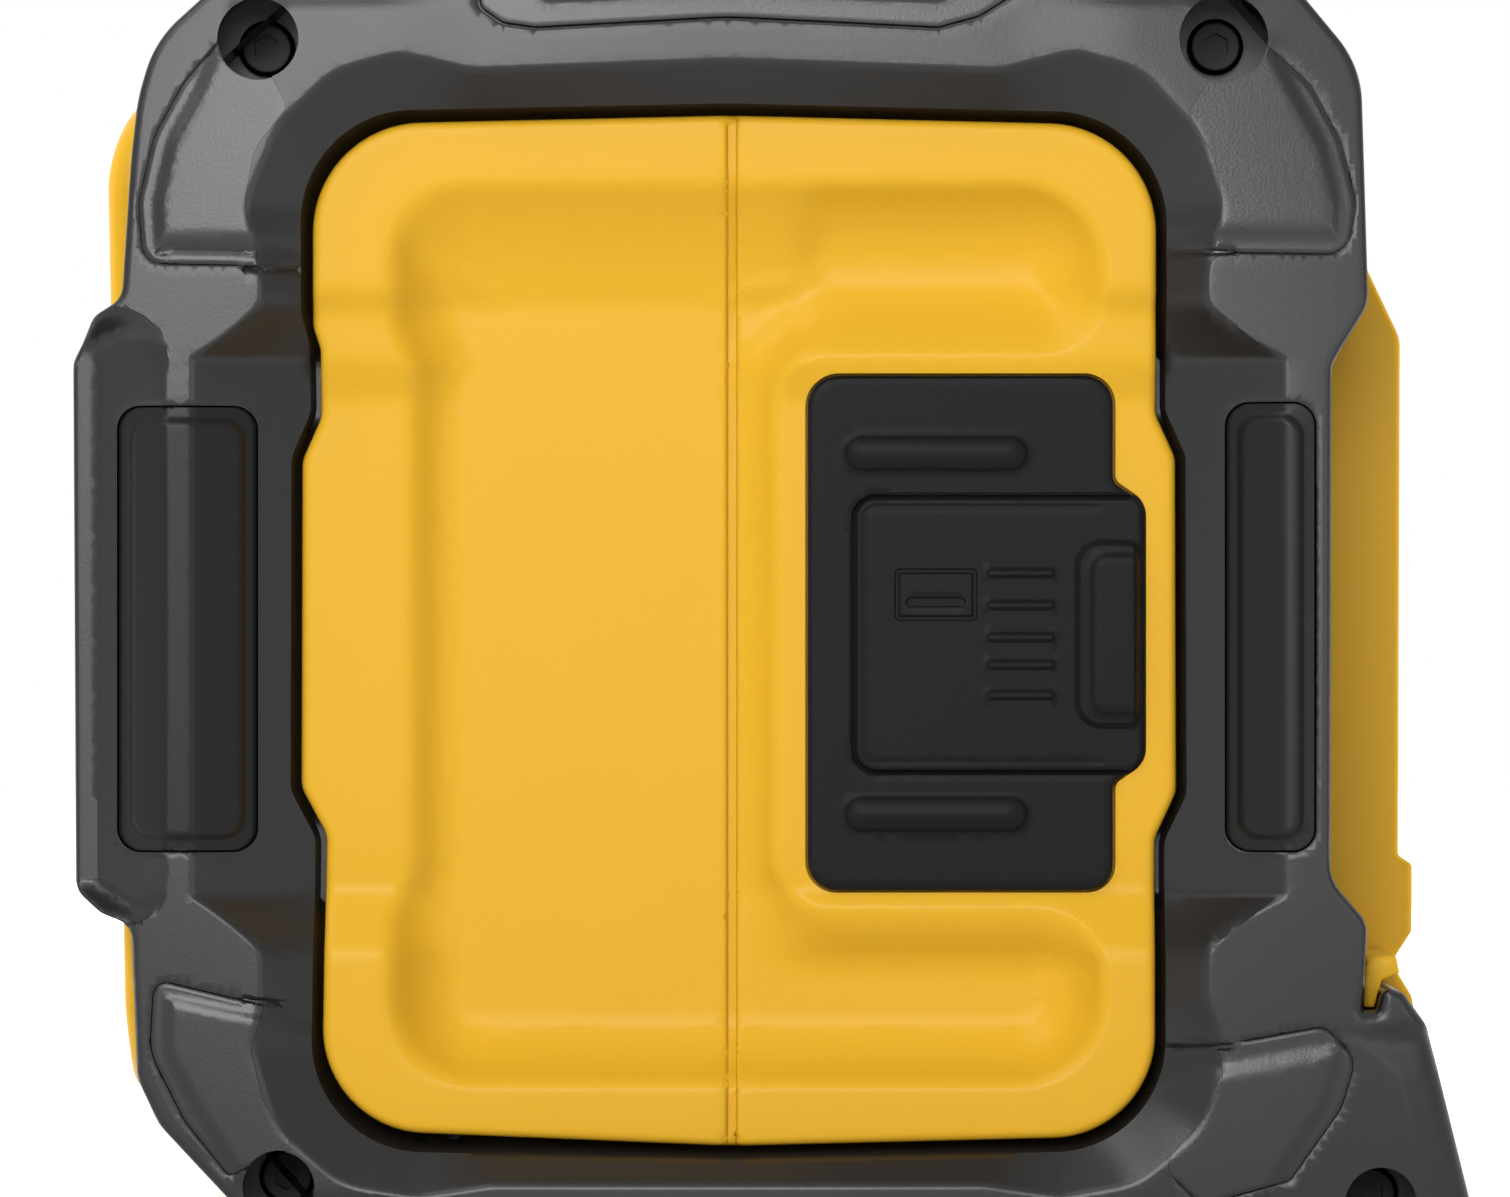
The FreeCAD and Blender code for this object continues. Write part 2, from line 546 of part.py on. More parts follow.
def gasket_path(half):
    """Sealing cord in the seam, along the bottom and both end walls."""
    side = [(0, 5.0), (95.4, 5.0), (95.4, 6.8), (SHOULDER_X - 0.2, 6.8), (SHOULDER_X - 0.2, 110),
            (SHOULDER_X - 1.0, 110), (SHOULDER_X - 1.0, 8.0), (94.2, 8.0), (94.2, 6.2), (0, 6.2)]
    wire = Part.makePolygon([V(x, SEAM_Y - half, z) for x, z in side + side[:1]])
    strip = Part.Face(wire).extrude(V(0, 2 * half, 0))
    return fuse([strip, mirrored(strip)])


def clam_screws():
    return [screw((x, CLAM_SEAT_Y, z), (0, -1, 0)) for x, z in CLAM_SCREWS]


# Front
def grille():
    y1 = GRILLE_FRONT_Y + GRILLE_THICK
    half_x = 88 - SEAT_GAP
    z0 = 23 + SEAT_GAP
    z1 = 118 - SEAT_GAP
    pts = [V(-half_x, y1, z0), V(half_x, y1, z0), V(half_x, y1, z1), V(-half_x, y1, z1)]
    outer = rounded_wire(pts, [5.8] * 4)
    holes = []
    row_step = HOLE_PITCH * math.sqrt(3) / 2
    rows = int((z1 - z0 - 12) / row_step)
    columns = int((2 * half_x - 12) / HOLE_PITCH)
    middle_z = (z0 + z1) / 2
    for row in range(rows + 1):
        z = middle_z + (row - rows / 2) * row_step
        shift = HOLE_PITCH / 2 if row % 2 else 0
        for column in range(columns + 1 - row % 2):
            x = (column - columns / 2) * HOLE_PITCH + shift
            if abs(x) < 25 and abs(z - middle_z) < 9:
                continue
            ring = Part.Circle(V(x, y1, z), V(0, 1, 0), HOLE_R)
            holes.append(Part.Wire(ring.toShape()))
    return Part.Face([outer] + holes).extrude(V(0, -GRILLE_THICK, 0))


def grille_cloth():
    return rounded_box_y(-84.6, 84.6, 26.4, 114.6, 4.6, GRILLE_FRONT_Y + GRILLE_THICK + 0.05,
                         GRILLE_FRONT_Y + GRILLE_THICK + 0.45)


def name_plate():
    plate = rounded_box_y(-23, 23, DRIVER_Z - 7.2, DRIVER_Z + 6.2, 3, GRILLE_FRONT_Y - 1.4, GRILLE_FRONT_Y)
    return rounded_edges(plate, 0.6, lambda e: e.BoundBox.YMax < GRILLE_FRONT_Y - 1.39)


# Drivers
def driver_screw_places(x):
    reach = FLANGE_R - 2.3
    return [(x + reach * math.cos(a), DRIVER_Z + reach * math.sin(a))
            for a in (math.pi / 4, 3 * math.pi / 4, 5 * math.pi / 4, 7 * math.pi / 4)]


def basket(x):
    front = BAFFLE_Y
    back = front + 22
    skin = [(FLANGE_R, front), (FLANGE_R, front + FLANGE_THICK), (32.0, front + FLANGE_THICK),
            (31.0, front + 8), (23.5, back - 1.6), (23.5, back), (11.5, back), (11.5, back - 1.6),
            (21.2, back - 1.6), (28.8, front + 7.2), (29.8, front + FLANGE_THICK), (29.8, front)]
    shell = revolve_y(skin, x, DRIVER_Z)
    windows = []
    for k in range(4):
        slot = box(x - 9, x + 9, front + 9, back - 3.4, DRIVER_Z + 12, DRIVER_Z + 40)
        slot.rotate(V(x, 0, DRIVER_Z), V(0, 1, 0), 45 + 90 * k)
        windows.append(slot)
    for px, pz in driver_screw_places(x):
        windows.append(rod(SHANK_R + 0.15, (px, front - 1, pz), (0, 1, 0), 6))
    lug = box(x - 5, x + 5, back - 9, back - 6, DRIVER_Z - 33, DRIVER_Z - 24)
    return fuse([shell.cut(windows), lug])


def magnet_system(x):
    face = BAFFLE_Y + 22
    plate = revolve_y([(22.5, face), (22.5, face + 3), (9.9, face + 3), (9.9, face)], x, DRIVER_Z)
    ring = revolve_y([(MAGNET_R, face + 3), (MAGNET_R, face + 12), (13, face + 12), (13, face + 3)],
                     x, DRIVER_Z)
    yoke = revolve_y([(0, face + 0.2), (7.9, face + 0.2), (7.9, face + 12), (22, face + 12),
                      (22, face + 15.5), (0, face + 15.5)], x, DRIVER_Z)
    return fuse([plate, ring, yoke])


def cone(x):
    front = BAFFLE_Y + 1.2
    back = front + 12
    paper = revolve_y([(CONE_R, front), (CONE_R, front + PAPER), (COIL_R, back + PAPER), (COIL_R, back + 12),
                       (COIL_R - 0.6, back + 12), (COIL_R - 0.6, back), (CONE_R - 1.4, front)], x, DRIVER_Z)
    return paper


def dust_cap(x):
    rim_y = BAFFLE_Y + 1.2 + 9.4
    rim_r = 11.0
    height = 4.2
    sphere_r = (rim_r ** 2 + height ** 2) / (2 * height)
    points = []
    steps = 8
    full = math.asin(rim_r / sphere_r)
    for k in range(steps + 1):
        a = full * k / steps
        points.append((sphere_r * math.sin(a), rim_y - height + sphere_r * (1 - math.cos(a))))
    inner = [(r, y + 0.5) for r, y in reversed(points)]
    return revolve_y(points + inner, x, DRIVER_Z)


def surround(x):
    front = BAFFLE_Y + 1.2
    outer_r = 32.4
    roll_out = 30.6
    roll_in = CONE_R + 0.1
    mid = (roll_out + roll_in) / 2
    r = (roll_out - roll_in) / 2
    top = []
    low = []
    for k in range(9):
        a = math.pi * k / 8
        top.append((mid + r * math.cos(a), BAFFLE_Y - 0.7 - r * 0.85 * math.sin(a)))
        low.append((mid + (r - 0.6) * math.cos(a), BAFFLE_Y - 0.7 - (r * 0.85 - 0.6) * math.sin(a)))
    seat = BAFFLE_Y - 0.05
    points = [(outer_r, BAFFLE_Y - 0.7)] + top + [(roll_in, front - 0.05), (roll_in + 0.6, front - 0.05)]
    points += list(reversed(low)) + [(roll_out - 0.6, seat), (outer_r, seat)]
    return revolve_y(points, x, DRIVER_Z)


def spider(x):
    y = BAFFLE_Y + 18.3
    inner = COIL_R + 0.05
    outer = 21.95
    steps = 12
    points = []
    for k in range(steps + 1):
        lift = 0 if k in (0, steps) else (0.7 if k % 2 else -0.7)
        points.append((inner + (outer - inner) * k / steps, y + lift))
    back = [(r, yy + 0.5) for r, yy in reversed(points)]
    return revolve_y(points + back, x, DRIVER_Z)


def driver_screws():
    shapes = []
    for x in driver_places():
        for px, pz in driver_screw_places(x):
            head = rod(2.2, (px, BAFFLE_Y - 1.2, pz), (0, 1, 0), 1.2)
            shank = rod(SHANK_R - 0.02, (px, BAFFLE_Y - 0.2, pz), (0, 1, 0), 8)
            shapes.append(fuse([head, shank]).cut(hexagon((px, BAFFLE_Y - 1.2, pz), (0, 1, 0), 1.0, 0.7)))
    return shapes


# Control panel
def button_names():
    return ["power_button", "pair_button", "previous_button", "play_button", "next_button",
            "volume_down_button", "volume_up_button"]


def button_x(index):
    return (index - 3) * BUTTON_PITCH


def button_outline(index, grow, z0, z1):
    x = button_x(index)
    y = (CONTROL_Y0 + CONTROL_Y1) / 2
    hx = BUTTON_X / 2 + grow
    hy = BUTTON_Y / 2 + grow
    return rounded_box_z(x - hx, x + hx, y - hy, y + hy, 3.0 + grow, z0, z1)


def push_button(index):
    x = button_x(index)
    y = (CONTROL_Y0 + CONTROL_Y1) / 2
    under = PANEL_TOP_Z - 2.8
    cap = button_outline(index, 0, under - 1.4, PANEL_TOP_Z + BUTTON_PROUD)
    cap = rounded_edges(cap, 0.7, lambda e: e.BoundBox.ZMin > PANEL_TOP_Z + BUTTON_PROUD - 0.01)
    flange = button_outline(index, 1.0, under - MOVE_GAP - 1.1, under - MOVE_GAP)
    stem = rod(1.6, (x, y, under - 3.4), (0, 0, 1), 2.4)
    return fuse([cap, flange, stem])


def control_panel():
    base = PANEL_TOP_Z - 2.8
    plate = rounded_box_z(-CONTROL_HALF_X, CONTROL_HALF_X, CONTROL_Y0, CONTROL_Y1, 3.8, base, PANEL_TOP_Z)
    plate = rounded_edges(plate, 0.8, lambda e: e.BoundBox.ZMin > PANEL_TOP_Z - 0.01)
    y0 = CONTROL_Y0 + 4 + SEAT_GAP
    y1 = CONTROL_Y1 - 4 - SEAT_GAP
    x1 = CONTROL_HALF_X - 4 - SEAT_GAP
    skirt = box(-x1, x1, y0, y1, base - 3, base + 0.5)
    skirt = skirt.cut(box(-x1 + 1.3, x1 - 1.3, y0 + 1.3, y1 - 1.3, base - 4, base + 1))
    posts = [rod(2.0, (x, y, base - 7.4), (0, 0, 1), 8.4) for x in (-63, 63) for y in (y0 + 3.6, y1 - 3.6)]
    panel = fuse([plate, skirt] + posts)
    holes = [button_outline(i, MOVE_GAP, base - 5, PANEL_TOP_Z + 1) for i in range(7)]
    holes.append(rod(LENS_R + 0.02, lens_place(base - 1), (0, 0, 1), 6))
    return panel.cut(holes)


def lens_place(z):
    return (-CONTROL_HALF_X + 7.4, (CONTROL_Y0 + CONTROL_Y1) / 2, z)


def status_lens():
    base = PANEL_TOP_Z - 2.8
    stem = rod(LENS_R, lens_place(base - 4.0), (0, 0, 1), PANEL_TOP_Z + 0.2 - base + 4.0)
    collar = rod(LENS_R + 0.4, lens_place(base - 1.0), (0, 0, 1), 1.0)
    return fuse([stem, collar])


def control_board():
    top = PANEL_TOP_Z - 2.8 - 7.4
    y0 = CONTROL_Y0 + 4 + SEAT_GAP
    y1 = CONTROL_Y1 - 4 - SEAT_GAP
    board = box(-66.5, 66.5, y0, y1, top - 1.6, top)
    shapes = [board]
    y = (CONTROL_Y0 + CONTROL_Y1) / 2
    for i in range(7):
        x = button_x(i)
        shapes.append(box(x - 3, x + 3, y - 3, y + 3, top - 0.1, top + 2.0))
        shapes.append(rod(1.7, (x, y, top + 1.9), (0, 0, 1), 0.8))
    shapes.append(box(lens_place(0)[0] - 1, lens_place(0)[0] + 1, y - 1, y + 1, top - 0.1, top + 1.2))
    shapes.append(box(40, 52, 4, 9, top - 6, top - 1.5))
    return fuse(shapes)


# Electronics inside
def main_board():
    back = BOARD_Y
    board = box(-50, 50, back - 1.6, back, 36, 110)
    shapes = [board]
    shapes.append(box(-20, 20, back - 16, back - 1.5, 74, 84))
    shapes.append(box(-9, 9, back - 4.2, back - 1.5, 54, 70))
    for x in (-34, -24, 24, 34):
        shapes.append(rod(4.2, (x, back - 14, 58), (0, 1, 0), 12.6))
    for x in (-40, -14, 14, 40):
        shapes.append(box(x - 4.5, x + 4.5, back - 7, back - 1.5, 92, 98))
    board = fuse(shapes)
    holes = [rod(SHORT_SHANK_R + 0.1, (x, back - 3, z), (0, 1, 0), 5) for x, z in BOARD_SCREWS]
    return board.cut(holes)


def usb_socket():
    x1 = POCKET_X - 0.3
    outer = box(x1 - 14, x1, 15.3, 28.9, 63.2, 69.8)
    hollow = box(x1 - 12.6, x1 + 1, 15.9, 28.3, 63.8, 69.2)
    tongue = box(x1 - 13, x1 - 1.2, 16.6, 27.6, 67.0, 68.8)
    return fuse([outer.cut(hollow), tongue])


def usb_board():
    x1 = POCKET_X - 2.4
    board = box(x1 - 22, x1, 9.8, 35.4, 61.6, 63.2)
    chip = box(x1 - 20, x1 - 15, 18, 26, 63.1, 65.2)
    plug = box(x1 - 21.5, x1 - 16, 28.6, 34.6, 63.1, 68.4)
    return fuse([board, chip, plug])


def line_jack():
    x1 = -POCKET_X + 0.3
    body = box(x1 + 2.3, x1 + 16, LINE_Y - 4, LINE_Y + 4, PORT_Z - 4.5, PORT_Z + 4.5)
    nose = rod(LINE_NOSE_R, (x1, LINE_Y, PORT_Z), (1, 0, 0), 4)
    bore = rod(LINE_BORE_R, (x1 - 1, LINE_Y, PORT_Z), (1, 0, 0), 15)
    return fuse([body, nose]).cut(bore)


def power_jack():
    x1 = -POCKET_X + 0.3
    body = box(x1 + 2.3, x1 + 15, POWER_Y - 5, POWER_Y + 5, PORT_Z - 5, PORT_Z + 5)
    nose = rod(POWER_NOSE_R, (x1, POWER_Y, PORT_Z), (1, 0, 0), 4)
    bore = rod(POWER_BORE_R, (x1 - 1, POWER_Y, PORT_Z), (1, 0, 0), 11)
    pin = rod(1.0, (x1 + 1.0, POWER_Y, PORT_Z), (1, 0, 0), 10)
    return fuse([fuse([body, nose]).cut(bore), pin])


# Covers on the ends
def cover_panel():
    face_x = BAND_X + PANEL_PROUD
    floor_x = face_x - PANEL_SUNK - 0.8
    panel = prism_x(PANEL_LINE, floor_x, face_x)
    panel = rounded_edges(panel, 0.5, at_x(face_x))
    bars = []
    for z in (88.0, 45.6):
        bar = rounded_box_x(10.5, 29.9, z - 1.8, z + 1.8, 1.75, face_x - 0.5, face_x + BAR_PROUD)
        bars.append(rounded_edges(bar, 0.6, at_x(face_x + BAR_PROUD)))
    panel = fuse([panel] + bars)
    opening = grown_x(FLAP_LINE, MOVE_GAP, floor_x - 1, END_X)
    slot = box(floor_x - 1, END_X, 36.0, 60, 54.0, 79.6)
    mouth = rounded_box_x(*PORT_MOUTH, 2.0, floor_x - 1, END_X)
    ledge = prism_x(PANEL_LINE, floor_x, face_x - PANEL_SUNK).cut(mouth)
    return biggest(fuse([panel.cut([opening, slot]), ledge]))


def cover_flap():
    face_x = BAND_X + PANEL_PROUD
    back_x = face_x - PANEL_SUNK + MOVE_GAP
    plate = prism_x(FLAP_LINE, back_x, face_x)
    plate = rounded_edges(plate, 0.5, at_x(face_x))
    tab = prism_x(TAB_LINE, face_x - 0.5, face_x + 1.4)
    tab = rounded_edges(tab, 0.7, at_x(face_x + 1.4))
    shapes = [plate, tab]
    for z in (73.0, 69.6, 66.2, 63.3, 60.1):
        rib = rounded_box_x(22.2, 29.4, z - 0.4, z + 0.4, 0.38, face_x - 0.5, face_x + 0.5)
        shapes.append(rib)
    rim = rounded_box_x(13.2, 32.4, 57.7, 75.3, 1.6, back_x - FLAP_RIM_DEPTH, back_x + 0.3)
    rim = rim.cut(rounded_box_x(14.6, 31.0, 59.1, 73.9, 1.0, back_x - FLAP_RIM_DEPTH - 1, back_x))
    shapes.append(rim)
    return fuse(shapes)


# Battery dock
def battery_dock():
    floor = BAY_FLOOR_Y + 0.05
    shapes = [box(-RAIL_OUT - 1, RAIL_OUT + 1, floor, floor + DOCK_PLATE, 40, 116)]
    for side in (1, -1):
        web = box(RAIL_IN, RAIL_WEB, floor + 2.3, floor + 9.4, 44, 112)
        lip = box(RAIL_IN, RAIL_OUT, floor + 6.6, floor + 9.4, 44, 112)
        rail = fuse([web, lip])
        mouth = [e for e in rail.Edges if e.BoundBox.ZMin > 111.9 and e.BoundBox.YMin > floor + 9.3]
        rail = rail.makeFillet(1.2, mouth)
        shapes.append(rail if side > 0 else mirrored(rail))
    block = box(-20, 20, floor + 2.3, floor + 9.0, 42, 56)
    shapes.append(block)
    dock = fuse(shapes)
    slots = [box(x - 0.45, x + 0.45, floor + 3.2, floor + 8.2, 44, 57) for x in blade_places()]
    for x, z in DOCK_SCREWS:
        slots.append(rod(SHORT_SHANK_R + 0.1, (x, floor - 1, z), (0, 1, 0), 8))
        slots.append(rod(SHORT_HEAD_R + 0.2, (x, floor + DOCK_PLATE - SHORT_HEAD_H, z), (0, 1, 0), 8))
    return dock.cut(slots)


def short_screws():
    """Screws of the dock, driven from the rear, and of the main board."""
    seat = BAY_FLOOR_Y + 0.05 + DOCK_PLATE - SHORT_HEAD_H
    dock = [turned(short_screw(x, -seat, z)) for x, z in DOCK_SCREWS]
    return dock + [short_screw(x, BOARD_Y - 1.6, z) for x, z in BOARD_SCREWS]


def turned(shape):
    return shape.mirror(V(0, 0, 0), V(0, 1, 0))


def blade_places():
    return [(k - (BLADES - 1) / 2) * BLADE_PITCH for k in range(BLADES)]


def battery_contacts():
    floor = BAY_FLOOR_Y + 0.05
    blades = []
    for x in blade_places():
        blades.append(box(x - 0.4, x + 0.4, floor + 3.3, floor + 8.1, 44.1, 68))
    return blades


# Wiring
def open_path(points):
    """Straight runs joined by tangent arcs."""
    pts = [V(*p) for p in points]
    edges = []
    start = pts[0]
    for i in range(1, len(pts) - 1):
        a = pts[i] - pts[i - 1]
        b = pts[i + 1] - pts[i]
        turn = a.getAngle(b)
        cut = 0.45 * min(a.Length, b.Length)
        r = cut / math.tan(turn / 2)
        a.normalize()
        b.normalize()
        first = pts[i] - a * cut
        last = pts[i] + b * cut
        inward = (b - a).normalize()
        middle = pts[i] + inward * (r / math.cos(turn / 2) - r)
        edges.append(Part.makeLine(start, first))
        edges.append(Part.Arc(first, middle, last).toShape())
        start = last
    edges.append(Part.makeLine(start, pts[-1]))
    return Part.Wire(edges)


def wire_through(points):
    direction = V(*points[1]) - V(*points[0])
    ring = Part.Wire(Part.Circle(V(*points[0]), direction, WIRE_R).toShape())
    return open_path(points).makePipeShell([ring], True, False)


def wiring():
    """Pairs to both drivers, the control board, the sockets and the jacks."""
    plug_y = BOARD_Y - 7.1
    wires = []
    for k in (0, 1):
        for side in (1, -1):
            x = side * (DRIVER_X + 2 - 4 * k)
            end = side * (41.5 - 3 * k)
            wires.append(wire_through([(x, BAFFLE_Y + 16.05, 42), (x, -34, 42), (x, -6, 46.5), (x, 14, 64),
                                       (end, 24, 86), (end, 31, 94.5), (end, plug_y, 95)]))
        wires.append(wire_through([(44 + 3 * k, 6.5, PANEL_TOP_Z - 16.25), (44 + 3 * k, 7, 115),
                                   (34 + k, 16, 106), (20 - k, 24, 99), (15.5 - 3 * k, 31, 95.5),
                                   (15.5 - 3 * k, plug_y, 95)]))
        wires.append(wire_through([(POCKET_X - 23.95, 30.4 + 2.4 * k, 66), (82, 30 + 2.4 * k, 66.5),
                                   (70, 28, 80 + 2 * k), (54, 28, 90 + 3 * k),
                                   (44 - 0.5 * k, 31, 93.6 + 2.6 * k),
                                   (44 - 0.5 * k, plug_y, 93.8 + 2.4 * k)]))
        wires.append(wire_through([(-POCKET_X + 15.35, 26 + 2.4 * k, 66.5), (-88, 26.5 + 2.4 * k, 67),
                                   (-72, 27, 80 + 2 * k), (-55, 28, 90 + 3 * k),
                                   (-44 + 0.5 * k, 31, 93.6 + 2.6 * k),
                                   (-44 + 0.5 * k, plug_y, 93.8 + 2.4 * k)]))
    return wires


def save(name, shape):
    if isinstance(shape, list):
        shape = Part.Compound(shape)
    elif len(shape.Solids) == 1:
        shape = shape.Solids[0]
    solids = len(shape.Solids)
    print("%-22s solids %d valid %s volume %.1f" % (name, solids, shape.isValid(), shape.Volume))
    shape.exportStep("parts/%s.step" % name)


os.makedirs("parts", exist_ok=True)

for part_name, part_shape in end_frame_set().items():
    save("right_" + part_name, part_shape)
    save("left_" + part_name, mirrored(part_shape))
save("case_screws", end_screw_set() + clam_screws())
save("feet", feet())

front_half, rear_half = housings()
save("front_housing", front_half)
save("rear_housing", rear_half)
save("seam_gasket", gasket_path(1.0))
save("short_screws", short_screws())

save("grille", grille())
save("grille_cloth", grille_cloth())
save("name_plate", name_plate())

for side_name, driver_x in (("right", DRIVER_X), ("left", -DRIVER_X)):
    save(side_name + "_basket", basket(driver_x))
    save(side_name + "_magnet", magnet_system(driver_x))
    save(side_name + "_cone", cone(driver_x))
    save(side_name + "_dust_cap", dust_cap(driver_x))
    save(side_name + "_surround", surround(driver_x))
    save(side_name + "_spider", spider(driver_x))
save("driver_screws", driver_screws())

save("control_panel", control_panel())
for number, button_name in enumerate(button_names()):
    save(button_name, push_button(number))
save("status_lens", status_lens())
save("control_board", control_board())
save("main_board", main_board())

save("usb_socket", usb_socket())
save("usb_board", usb_board())
save("line_jack", line_jack())
save("power_jack", power_jack())
save("usb_panel", cover_panel())
save("usb_flap", cover_flap())
save("jack_panel", mirrored(cover_panel()))
save("jack_flap", mirrored(cover_flap()))

save("battery_dock", battery_dock())
save("battery_contacts", battery_contacts())
save("wiring", wiring())
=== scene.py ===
import bmesh
import bpy
import math
import numpy as np
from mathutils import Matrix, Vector
from mathutils.geometry import delaunay_2d_cdt
from mathutils.kdtree import KDTree


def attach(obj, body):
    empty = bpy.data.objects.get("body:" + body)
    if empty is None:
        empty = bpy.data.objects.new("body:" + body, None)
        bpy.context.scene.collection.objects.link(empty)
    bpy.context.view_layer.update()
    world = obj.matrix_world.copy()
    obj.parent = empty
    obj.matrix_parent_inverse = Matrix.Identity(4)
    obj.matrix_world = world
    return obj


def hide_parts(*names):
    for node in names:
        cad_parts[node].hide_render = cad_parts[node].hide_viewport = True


bl_info = {
    "name": "Jobsite speaker",
    "version": (1, 0, 0),
    "blender": (4, 5, 0),
    "location": "3D View > Sidebar > Speaker",
    "description": "Dresses the packed CAD model of a jobsite speaker",
    "category": "Object",
}

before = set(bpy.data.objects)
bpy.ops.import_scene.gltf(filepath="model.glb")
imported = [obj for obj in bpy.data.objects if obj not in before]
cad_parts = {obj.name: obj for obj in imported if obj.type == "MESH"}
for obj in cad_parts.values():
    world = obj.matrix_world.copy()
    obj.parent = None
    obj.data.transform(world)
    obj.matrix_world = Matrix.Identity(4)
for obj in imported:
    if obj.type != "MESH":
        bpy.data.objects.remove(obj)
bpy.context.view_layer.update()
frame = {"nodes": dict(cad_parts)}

# Outlines seen along X, in millimetres: (y, z, corner radius)
SILHOUETTE = [
    (-51.2, 142.0, 8), (-65.5, 129.0, 12), (-67.3, 122.8, 20), (-68.0, 116.0, 4), (-68.9, 101.8, 2.5),
    (-71.9, 100.0, 2.6), (-74.29, 95.2, 3), (-74.0, 39.6, 2.4), (-71.2, 37.2, 2.5),
    (-67.9, 35.9, 2), (-67.3, 19.8, 5), (-65.0, 14.9, 5), (-57.7, 7.1, 4), (-53.4, 2.0, 3),
    (74.37, 2.0, 1.5), (69.6, 20.9, 6), (68.4, 25.4, 3), (65.9, 28.8, 1.5), (63.9, 29.5, 1),
    (63.2, 26.9, 0.4), (61.7, 26.9, 0.4), (62.1, 36.2, 3), (58.2, 40.7, 4), (58.3, 94.9, 4),
    (62.2, 101.2, 4), (61.5, 126.4, 11), (48.6, 142.0, 8)]
SPIGOT = [
    (-47.5, 137.8, 6), (-61.8, 124.8, 5), (-64.2, 117.0, 4), (-63.6, 27.0, 4),
    (-60.4, 18.0, 4), (-49.5, 6.0, 4), (52.0, 6.0, 4), (54.2, 40.0, 4),
    (54.2, 97.0, 4), (57.6, 104.0, 4), (57.2, 124.5, 5), (45.5, 137.8, 6)]
WINDOW = [
    (-49.0, 120.3, 11.6), (-49.0, 99.0, 2), (-48.2, 96.6, 3), (-48.2, 89.4, 3), (-50.2, 84.9, 3),
    (-50.3, 50.3, 3), (-47.6, 45.3, 3), (-48.1, 14.3, 11), (-4.8, 12.5, 60), (39.95, 13.6, 11),
    (39.95, 44.9, 3), (42.25, 49.8, 3), (42.15, 85.2, 3), (40.05, 89.8, 3),
    (40.05, 120.2, 11.5), (-5.0, 121.3, 60)]
FOOT = [
    (-50.2, 121.6, 12), (-50.2, 100.4, 2), (-49.4, 97.2, 3), (-49.3, 90.0, 3), (-51.3, 85.2, 3),
    (-51.4, 50.1, 3), (-48.8, 45.0, 3), (-49.2, 12.2, 11.8), (-4.8, 11.2, 60), (41.0, 12.2, 11.8),
    (41.0, 44.7, 3), (43.3, 49.6, 3), (43.2, 85.4, 3), (41.1, 90.1, 3),
    (41.1, 121.4, 12), (-5.0, 122.5, 60)]
RING_FOOT = [(-49.8, 121.8, 12), (-49.3, 12.1, 11.8), (41.0, 12.1, 11.8), (41.1, 121.8, 12)]
CREST = [
    (-39.6, 127.6, 5), (-46.6, 125.8, 8), (-52.4, 120.2, 8), (-55.9, 111.6, 5),
    (-54.2, 104.6, 4), (-54.2, 28.0, 4), (-55.2, 23.0, 5), (-52.6, 14.6, 8),
    (-45.6, 8.6, 8), (-37.6, 7.4, 5), (-30.0, 8.6, 6), (22.0, 8.6, 6), (30.0, 7.4, 5),
    (38.0, 8.8, 8), (44.6, 14.6, 8), (47.2, 22.4, 5), (45.2, 28.2, 4), (45.2, 104.4, 4),
    (46.9, 111.2, 5), (44.2, 119.4, 8), (38.4, 125.9, 8), (31.4, 127.8, 5),
    (23.4, 125.8, 6), (-5.0, 126.8, 60), (-32.0, 125.8, 6)]
BEVEL = [
    (30.0, -10.0, 1), (71.4, -10.0, 1), (68.0, 8.2, 4), (66.6, 15.5, 4), (65.4, 20.2, 3), (61.4, 23.6, 3),
    (30.0, 26.0, 1)]
FLANK = [(-80.0, 100.9, 1), (-64.0, 101.0, 5.6), (-64.0, 35.7, 4.6), (-80.0, 36.6, 1)]
SCOOP = [
    (-40.4, 114.0, 8), (-40.4, 99.0, 3), (-38.2, 94.5, 3), (-38.2, 41.5, 3),
    (-40.6, 36.5, 3), (-40.6, 19.2, 9), (34.4, 19.2, 9), (34.4, 37.2, 7),
    (-0.3, 37.2, 6), (-0.3, 96.6, 6), (34.4, 96.6, 6.5), (34.4, 114.0, 9)]
PANEL = [
    (3.3, 93.8, 3.3), (3.3, 39.5, 3.0), (35.5, 39.5, 2.7), (35.5, 50.9, 1.4),
    (38.75, 53.1, 2.6), (38.75, 80.4, 2.6), (35.5, 82.6, 1.4), (35.5, 93.8, 3.0)]
FLAP = [
    (8.3, 80.9, 2.2), (8.3, 52.1, 2.2), (37.4, 52.1, 0.6), (38.65, 53.3, 2.2),
    (38.65, 80.2, 2.2), (37.7, 80.9, 0.6)]
TAB = [(31.4, 76.7, 2.9), (31.4, 56.5, 2.9), (38.4, 56.5, 1.2), (38.4, 76.5, 1.2)]
TAB_FACE = [(33.0, 75.2, 2.0), (33.0, 57.8, 2.0), (38.5, 57.8, 1.0), (38.5, 75.2, 1.0)]
TOP_PAD = [
    (-31.5, 143.0, 0), (-31.5, 132.4, 1.5), (-28.9, 130.6, 2), (-25.4, 130.1, 2),
    (-5.2, 131.2, 40), (17.0, 130.1, 2), (21.4, 131.3, 3), (26.6, 134.6, 3), (27.4, 143.0, 0)]
